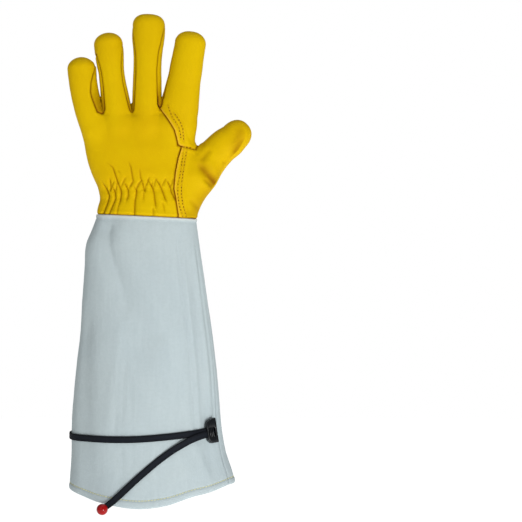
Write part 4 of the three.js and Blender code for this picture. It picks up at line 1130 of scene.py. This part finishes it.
def stitch_mesh(places, ways, normals, length, radius):
    """Short threads: a capsule's grid, half sunk in the leather, repeated at each place along its way."""
    rings = np.array([-1, -0.96, -0.8, 0, 0.8, 0.96, 1]) * length / 2
    thick = np.array([0.01, 0.55, 0.92, 1, 0.92, 0.55, 0.01]) * radius
    lift = np.array([-0.5, -0.2, 0.15, 0.35, 0.15, -0.2, -0.5]) * radius
    turn = np.arange(6) * math.pi / 3
    side = np.cross(ways, normals)
    local = np.stack([
        np.broadcast_to(rings[:, None], (7, 6)),
        thick[:, None] * np.cos(turn),
        thick[:, None] * np.sin(turn) + lift[:, None],
    ], -1).reshape(-1, 3)
    frames = np.stack([ways, side, normals], 1)
    points = places[:, None] + np.einsum("kl,nlm->nkm", local, frames)
    faces = grid_faces(7, 6, around=True)
    faces = faces[None] + np.arange(len(places))[:, None, None] * len(local)
    return points.reshape(-1, 3), faces.reshape(-1, 4)


def hole_mesh(places, normals, radius):
    """Needle holes: small sunk discs, one fan of eight to each place."""
    helper = np.where(np.abs(normals[:, 2:]) < 0.9, [[0, 0, 1.0]], [[1.0, 0, 0]])
    side = unit(np.cross(helper, normals))
    up = np.cross(normals, side)
    turn = np.arange(8) * math.pi / 4
    c, s = np.cos(turn)[None, :, None], np.sin(turn)[None, :, None]
    ring = places[:, None] + radius * (c * side[:, None] + s * up[:, None])
    points = np.concatenate([ring, (places + normals * 0.12)[:, None]], 1)
    fan = np.array([[j, (j + 1) % 8, 8] for j in range(8)])
    faces = fan[None] + np.arange(len(places))[:, None, None] * 9
    return points.reshape(-1, 3), faces.reshape(-1, 3)


def along_line(points, pitch):
    """Places at even pitch along a line, and the way it runs there."""
    points = np.asarray(points, float)
    run = run_along(points)
    at = np.arange(pitch / 2, run[-1], pitch)
    return at_run(at, run, points), unit(at_run(at + 0.3, run, points) - at_run(at - 0.3, run, points))


def sewn_on(tree, rows, pitch):
    """Stitch places along rows seen from the back, dropped onto the leather: place, way and outward
    direction."""
    places, ways, normals = [], [], []
    for row in rows:
        for (x, z), (dx, dz) in zip(*along_line(row, pitch)):
            hit, normal, _, _ = tree.ray_cast(Vector((x, -300, z)), Vector((0, 1, 0)))
            if hit is None:
                continue
            normal = np.array(normal if normal.y < 0 else -normal)
            way = np.array([dx, 0, dz])
            ways.append(way - normal * (way @ normal))
            places.append(np.array(hit))
            normals.append(normal)
    return np.array(places), unit(np.array(ways)), np.array(normals)


# Finishes
class Value:
    """A number from a socket; arithmetic on it adds Math nodes."""

    def __init__(self, finish, socket):
        self.finish, self.socket = finish, socket

    def maths(self, operation, *values):
        return self.finish.add("ShaderNodeMath", {"operation": operation}, dict(enumerate(values)))

    def __add__(self, other):
        return self.maths("ADD", self, other)

    __radd__ = __add__

    def __sub__(self, other):
        return self.maths("SUBTRACT", self, other)

    def __rsub__(self, other):
        return self.maths("SUBTRACT", other, self)

    def __mul__(self, other):
        return self.maths("MULTIPLY", self, other)

    __rmul__ = __mul__

    def sine(self):
        return self.maths("SINE", self)

    def size(self):
        return self.maths("ABSOLUTE", self)

    def clamp(self):
        return self.finish.add("ShaderNodeClamp", {}, {"Value": self})


class Finish:
    """A material with one shader; constants go straight onto the shader's sockets."""

    def __init__(self, name, **constants):
        self.material = bpy.data.materials.new(name)
        self.material.use_nodes = True
        self.tree = self.material.node_tree
        self.shader = self.tree.nodes["Principled BSDF"]
        for socket, value in constants.items():
            self.shader.inputs[socket.replace("_", " ").title().replace("Ior", "IOR")].default_value = value

    def add(self, kind, settings=None, sockets=None, output=0):
        """One node: its settings first, then the values or links of its sockets."""
        node = self.tree.nodes.new(kind)
        for name, value in (settings or {}).items():
            setattr(node, name, value)
        for name, value in (sockets or {}).items():
            self.feed(node.inputs[name], value)
        return Value(self, node.outputs[output])

    def feed(self, socket, value):
        if isinstance(value, Value):
            self.tree.links.new(value.socket, socket)
        else:
            socket.default_value = value

    def coat(self, **links):
        for name, value in links.items():
            self.feed(self.shader.inputs[name.replace("_", " ").title()], value)

    def place(self, which="Object"):
        return self.add("ShaderNodeTexCoord", output={"Object": 3, "UV": 2}[which])

    def noise(self, place, scale, detail=2.0, roughness=0.5):
        sockets = {"Vector": place, "Scale": scale, "Detail": detail, "Roughness": roughness}
        return self.add("ShaderNodeTexNoise", {}, sockets)

    def stretched(self, place, size):
        return self.add("ShaderNodeMapping", {}, {"Vector": place, "Scale": size})

    def blend(self, factor, one, two):
        """A mix of two colours, whose sockets on the node are numbers 6 and 7."""
        return self.add("ShaderNodeMix", {"data_type": "RGBA"}, {"Factor": factor, 6: one, 7: two}, output=2)

    def attribute(self, name):
        return self.add("ShaderNodeAttribute", {"attribute_name": name}, output=2)

    def bump(self, height, strength, distance):
        return self.add("ShaderNodeBump", {}, {"Height": height, "Strength": strength, "Distance": distance})


def shade(r, g, b):
    """An sRGB colour out of 255, as the linear colour that a shader takes."""
    shares = [c / 255 for c in (r, g, b)]
    return tuple(c / 12.92 if c <= 0.04045 else ((c + 0.055) / 1.055) ** 2.4 for c in shares) + (1,)


def grain_leather():
    """Golden grain leather: slow patches, pores, faint wear, darker seams, and a redder, darker gold painted
    as shade in folds, at the lapped edge, along the stitch rows and between the fingers.
    """
    f = Finish("golden_grain_leather", roughness=0.6, specular_ior_level=0.04)
    place = f.place()
    patches = f.noise(place, 16, 3)
    mottle = f.noise(place, 120, 4, 0.6)
    pores = f.add("ShaderNodeTexVoronoi", {"feature": "F1"}, {"Vector": place, "Scale": 900})
    crease = f.attribute("crease")
    warm = f.blend((patches * 1.6 - 0.3).clamp(), GOLD_DEEP, GOLD)
    colour = f.blend((mottle * 0.5).clamp(), warm, GOLD_LIGHT)
    colour = f.blend(f.attribute("raw_edge"), colour, GOLD_RAW)
    # Darker seams, and painted shade in folds, at the lapped edge, along the stitch rows and between the
    # fingers.
    colour = f.blend((crease * 0.9).clamp(), colour, GOLD_SHADE_AND_SEAM)
    f.coat(base_color=colour, roughness=(0.54 + mottle * 0.16 + crease * 0.12).clamp())
    height = mottle * 0.5 + pores * 0.25 + f.noise(place, 420, 3) * 0.3
    f.coat(normal=f.bump(height, 0.32, 0.0006))
    return f.material


def split_leather():
    """Pale split leather: a short nap that runs down the cuff, cloudy patches, darker in its seams, and
    painted shade in its folds and along the hem's stitch groove.
    """
    f = Finish("pale_split_leather", roughness=0.92, specular_ior_level=0.2)
    place = f.place()
    clouds = f.noise(place, 9, 3)
    streaks = f.noise(f.stretched(place, (260, 260, 26)), 1, 4, 0.65)
    nap = f.noise(place, 800, 3, 0.7)
    crease = f.attribute("crease")
    colour = f.blend((clouds * 1.5 - 0.25).clamp(), SPLIT_COOL, SPLIT_WARM)
    colour = f.blend((streaks * 0.9 - 0.2).clamp(), colour, SPLIT_LIGHT)
    specks = f.noise(f.stretched(place, (300, 300, 420)), 1, 4, 0.75)
    colour = f.blend((specks * 2.2 - 0.85).clamp() * 0.55, colour, SPLIT_SPECK)
    colour = f.blend(f.attribute("raw_edge"), colour, SPLIT_RAW)
    # Darker seams, and painted shade in the folds and along the hem's stitch groove.
    colour = f.blend((crease * 0.8).clamp(), colour, SPLIT_SHADE_AND_SEAM)
    f.coat(base_color=colour, roughness=(0.86 + nap * 0.12).clamp())
    f.coat(normal=f.bump(streaks * 0.5 + nap * 0.35 + f.noise(place, 190, 3) * 0.5, 0.6, 0.0008))
    return f.material


def tape_finish():
    """Black braided tape: yarns cross in a fine chevron, and its colour is painted a little lighter on the
    chevron's ridges and towards the middle, as painted light on the rounded braid.
    """
    f = Finish("black_braid", roughness=0.7, specular_ior_level=0.12)
    across = f.add("ShaderNodeSeparateXYZ", {}, {"Vector": f.place("UV")})
    down = Value(f, across.socket.node.outputs[1])
    turn = 2 * math.pi
    chevron = (down * (turn / CHEVRON[0]) - across.size() * (turn / CHEVRON[1])).sine() * 0.5 + 0.5
    yarn = (across * (turn / YARN_PITCH)).sine() * 0.5 + 0.5
    weave = chevron * 0.7 + yarn * 0.3
    # Painted light: lighter towards the middle of the tape, darker towards its edges.
    middle = (1 - across.size() * (1 / 3.1)).clamp()
    fuzz = f.noise(f.place(), 1300, 2)
    # Lit colour on the ridges and the middle, shaded colour elsewhere: painted light.
    lit = f.blend((weave * 0.55 + middle * 0.35 + fuzz * 0.2 - 0.2).clamp(), TAPE_DARK, TAPE_LIGHT)
    f.coat(base_color=lit, roughness=(0.58 + fuzz * 0.3).clamp())
    f.coat(normal=f.bump(weave + fuzz * 0.3, 0.6, 0.00025))
    return f.material


def plastic_finish(name, low, high, roughness, gloss):
    """Moulded plastic: one colour with the faintest clouds, a fine moulded skin and small handling marks."""
    f = Finish(name, roughness=roughness, specular_ior_level=gloss)
    place = f.place()
    clouds = f.noise(place, 240, 3)
    marks = f.noise(f.stretched(place, (2600, 700, 900)), 1, 3, 0.7)
    f.coat(base_color=f.blend(clouds, low, high), roughness=(roughness - 0.06 + marks * 0.14).clamp())
    f.coat(normal=f.bump(f.noise(place, 1500, 2), 0.08, 0.0002))
    return f.material


def thread_finish(name, low, high):
    """Twisted thread: fine slanting plies."""
    f = Finish(name, roughness=0.65, specular_ior_level=0.06)
    place = f.place()
    sockets = {"Vector": place, "Scale": 700, "Distortion": 0.6}
    plies = f.add("ShaderNodeTexWave", {"bands_direction": "DIAGONAL"}, sockets)
    f.coat(base_color=f.blend(plies, low, high), normal=f.bump(plies, 0.4, 0.0002))
    return f.material


GOLD = shade(194, 162, 0)
GOLD_DEEP = shade(187, 147, 0)
GOLD_LIGHT = shade(200, 169, 1)
# Colour of the painted shade and of the darker seams
GOLD_SHADE_AND_SEAM = shade(104, 44, 0)
GOLD_RAW = shade(212, 160, 52)
SPLIT_COOL = shade(155, 168, 173)
SPLIT_WARM = shade(163, 173, 174)
SPLIT_LIGHT = shade(172, 183, 185)
# Colour of the darker seams and of the painted shade
SPLIT_SHADE_AND_SEAM = shade(118, 128, 128)
SPLIT_SPECK = shade(150, 162, 164)
SPLIT_RAW = shade(224, 224, 214)
# Shaded and lit colours of the black braid, for its painted light
TAPE_DARK = shade(3, 4, 7)
TAPE_LIGHT = shade(27, 32, 41)

# Camera, at the photograph's angle
CAMERA_BACK = 1.65
SENSOR = 36
VIEW_WIDTH = 0.5011  # metres across the picture at the glove
camera_data = bpy.data.cameras.new("camera")
camera = bpy.data.objects.new("camera", camera_data)
bpy.context.scene.collection.objects.link(camera)
camera.location = (0.109, -CAMERA_BACK, -0.044)
camera.rotation_euler = (math.radians(90), 0, 0)
camera_data.sensor_width, camera_data.lens = SENSOR, SENSOR * CAMERA_BACK / VIEW_WIDTH
bpy.context.scene.camera = camera

# The tape's free end and its ball
braid = tape_finish()
way, facing, ball_centre, to_ball = tail_way()
points, faces, uv, tail_length = tape_skin(way, facing)
tail = make_piece("free_end", points, faces, braid, "tape", ["tape_tail"], uv=uv)
red = plastic_finish("red_plastic", shade(127, 1, 4), shade(147, 3, 7), 0.15, 0.22)
ball = make_piece("red_ball", *ball_skin(ball_centre, to_ball), red, "ball_plastic", ["pull_ball"])
way[0] * MM
tail_length * MM
(way[::6] * MM).tolist()

# The held tape and its buckle
points, faces, uv, _ = tape_skin(*held_way())
make_piece("held_tape", points, faces, braid, "tape", ["cuff_tape"], uv=uv)
black = plastic_finish("black_plastic", shade(2, 4, 7), shade(7, 11, 16), 0.24, 0.3)
make_piece("buckle_body", *buckle_skin(), black, "buckle_plastic", ["buckle"])

# The hand
gold = grain_leather()
step = 1.1
points, faces = surface_of(hand_field, *HAND_BOX, step)
faces = faces[:, ::-1]
regions = {name: (lambda p, args=args: fourchette_region(p, *args)) for name, args in FOURCHETTES.items()}
regions["thumb_panel"] = thumb_region
regions["back_panel"] = back_region
for region in [lambda p: seam_height(p[:, 0]) - p[:, 2], *regions.values()]:
    points, faces = split(points, faces, region(points))
cuts = [(lapped_line + thumb_back_line, RAW_EDGE)] + [(line, (0, CREASE_HALF)) for line, _ in GATHERS]
for line, halves in cuts:
    for half in halves:
        points, faces = split(points, faces, beside(points, line, half))
middles = points[faces].mean(1)
kept = middles[:, 2] > seam_height(middles[:, 0])
points_normal = slope_of(hand_field, points)
label = np.full(len(faces), "palm_panel", dtype="<U32")
for name in reversed(list(regions)):
    label[regions[name](middles) < 0] = name
hand_skin = []
for name in [*regions, "palm_panel"]:
    own = faces[kept & (label == name)]
    used, own = np.unique(own, return_inverse=True)
    own = own.reshape(-1, 3)
    skin = points[used]
    height, crease, raw_edge = hand_relief(name, skin, edge_samples(skin, own))
    skin = skin + points_normal[used] * height[:, None]
    hand_skin.append((skin, own))
    panel = make_piece(name + "_leather", skin, own, gold, "grain_leather", [name],
                       crease=crease, raw_edge=raw_edge)
    thicken(panel, GLOVE_LEATHER)

# The cuff
split_finish = split_leather()
hem_lines = [
    cuff_panel("cuff_back", [a - 360 for a in LITTLE_SIDE_SEAM], THUMB_SIDE_SEAM, split_finish),
    cuff_panel("cuff_palm", THUMB_SIDE_SEAM, LITTLE_SIDE_SEAM, split_finish),
]

# Stitches
hand_points = np.vstack([skin for skin, _ in hand_skin])
starts = np.cumsum([0] + [len(skin) for skin, _ in hand_skin])
hand_faces = np.vstack([own + start for (_, own), start in zip(hand_skin, starts)])
hand_tree = BVHTree.FromPolygons(hand_points.tolist(), hand_faces.tolist())
places, ways, normals = sewn_on(hand_tree, STITCH_ROWS + CROSS_ROWS, STITCH_PITCH)
gold_thread = thread_finish("golden_thread", shade(178, 132, 6), shade(206, 162, 24))
make_piece("hand_stitches", *stitch_mesh(places, ways, normals, *HAND_THREAD), gold_thread, "grain_leather")
# Needle holes: small discs painted dark as the shade inside each hole.
hole_shade = thread_finish("needle_hole_shade", shade(62, 34, 3), shade(92, 52, 6))
holes = places + ways * STITCH_PITCH / 2
holes = hole_mesh(holes + normals * 0.1, normals, NEEDLE_HOLE)
make_piece("needle_holes", *holes, hole_shade, "grain_leather")

places, ways, normals = [], [], []
for line, outward in hem_lines:
    place, way = along_line(line, HEM_PITCH)
    closest = np.argmin(np.linalg.norm(place[:, None] - line[None], axis=2), axis=1)
    places.append(place)
    normals.append(outward[closest])
    ways.append(square_to(way, normals[-1]))
pale_thread = thread_finish("pale_thread", shade(178, 176, 128), shade(206, 204, 160))
threads = stitch_mesh(*map(np.vstack, (places, ways, normals)), *HEM_THREAD)
make_piece("hem_stitches", *threads, pale_thread, "split_leather")

# Floor, backdrop and light
FLOOR_HEIGHT = -0.75
FLOOR_REACH = 6
floor_mesh = bpy.data.meshes.new("floor")
corners = [(x * FLOOR_REACH, y * FLOOR_REACH, FLOOR_HEIGHT) for x, y in ((-1, -1), (1, -1), (1, 1), (-1, 1))]
floor_mesh.from_pydata(corners, [], [(0, 1, 2, 3)])
floor = bpy.data.objects.new("floor", floor_mesh)
bpy.context.scene.collection.objects.link(floor)
paper = Finish("white_paper", roughness=0.9, base_color=(0.85, 0.85, 0.85, 1),
               emission_color=(1, 1, 1, 1), emission_strength=0.78)
floor_mesh.materials.append(paper.material)


def lamp(name, place, aim, size, power):
    """A square soft light at a place, in metres, turned towards its aim."""
    data = bpy.data.lights.new(name, "AREA")
    data.size, data.energy = size, power
    item = bpy.data.objects.new(name, data)
    item.location = place
    item.rotation_euler = (Vector(aim) - Vector(place)).to_track_quat("-Z", "Y").to_euler()
    bpy.context.scene.collection.objects.link(item)


lamp("key_light", (0.8, -1.4, -0.5), (0, 0, -0.05), 0.5, 19)
lamp("fill_light", (-0.9, -1.6, 0.7), (0, 0, -0.05), 1.6, 5)
lamp("top_light", (0.1, -0.1, 1.7), (0, 0, 0), 1.4, 6)

# A white wall for the camera, and a soft light of its own for the leather
world = bpy.data.worlds.new("studio")
world.use_nodes = True
nodes, links = world.node_tree.nodes, world.node_tree.links
soft_light, white_wall = nodes["Background"], nodes.new("ShaderNodeBackground")
either = nodes.new("ShaderNodeMixShader")
soft_light.inputs["Color"].default_value = (1, 1, 1, 1)
soft_light.inputs["Strength"].default_value = 0.36
white_wall.inputs["Color"].default_value = (1, 1, 1, 1)
links.new(nodes.new("ShaderNodeLightPath").outputs["Is Camera Ray"], either.inputs[0])
links.new(soft_light.outputs[0], either.inputs[1])
links.new(white_wall.outputs[0], either.inputs[2])
links.new(either.outputs[0], nodes["World Output"].inputs["Surface"])
bpy.context.scene.world = world
bpy.context.scene.view_settings.view_transform = "Standard"
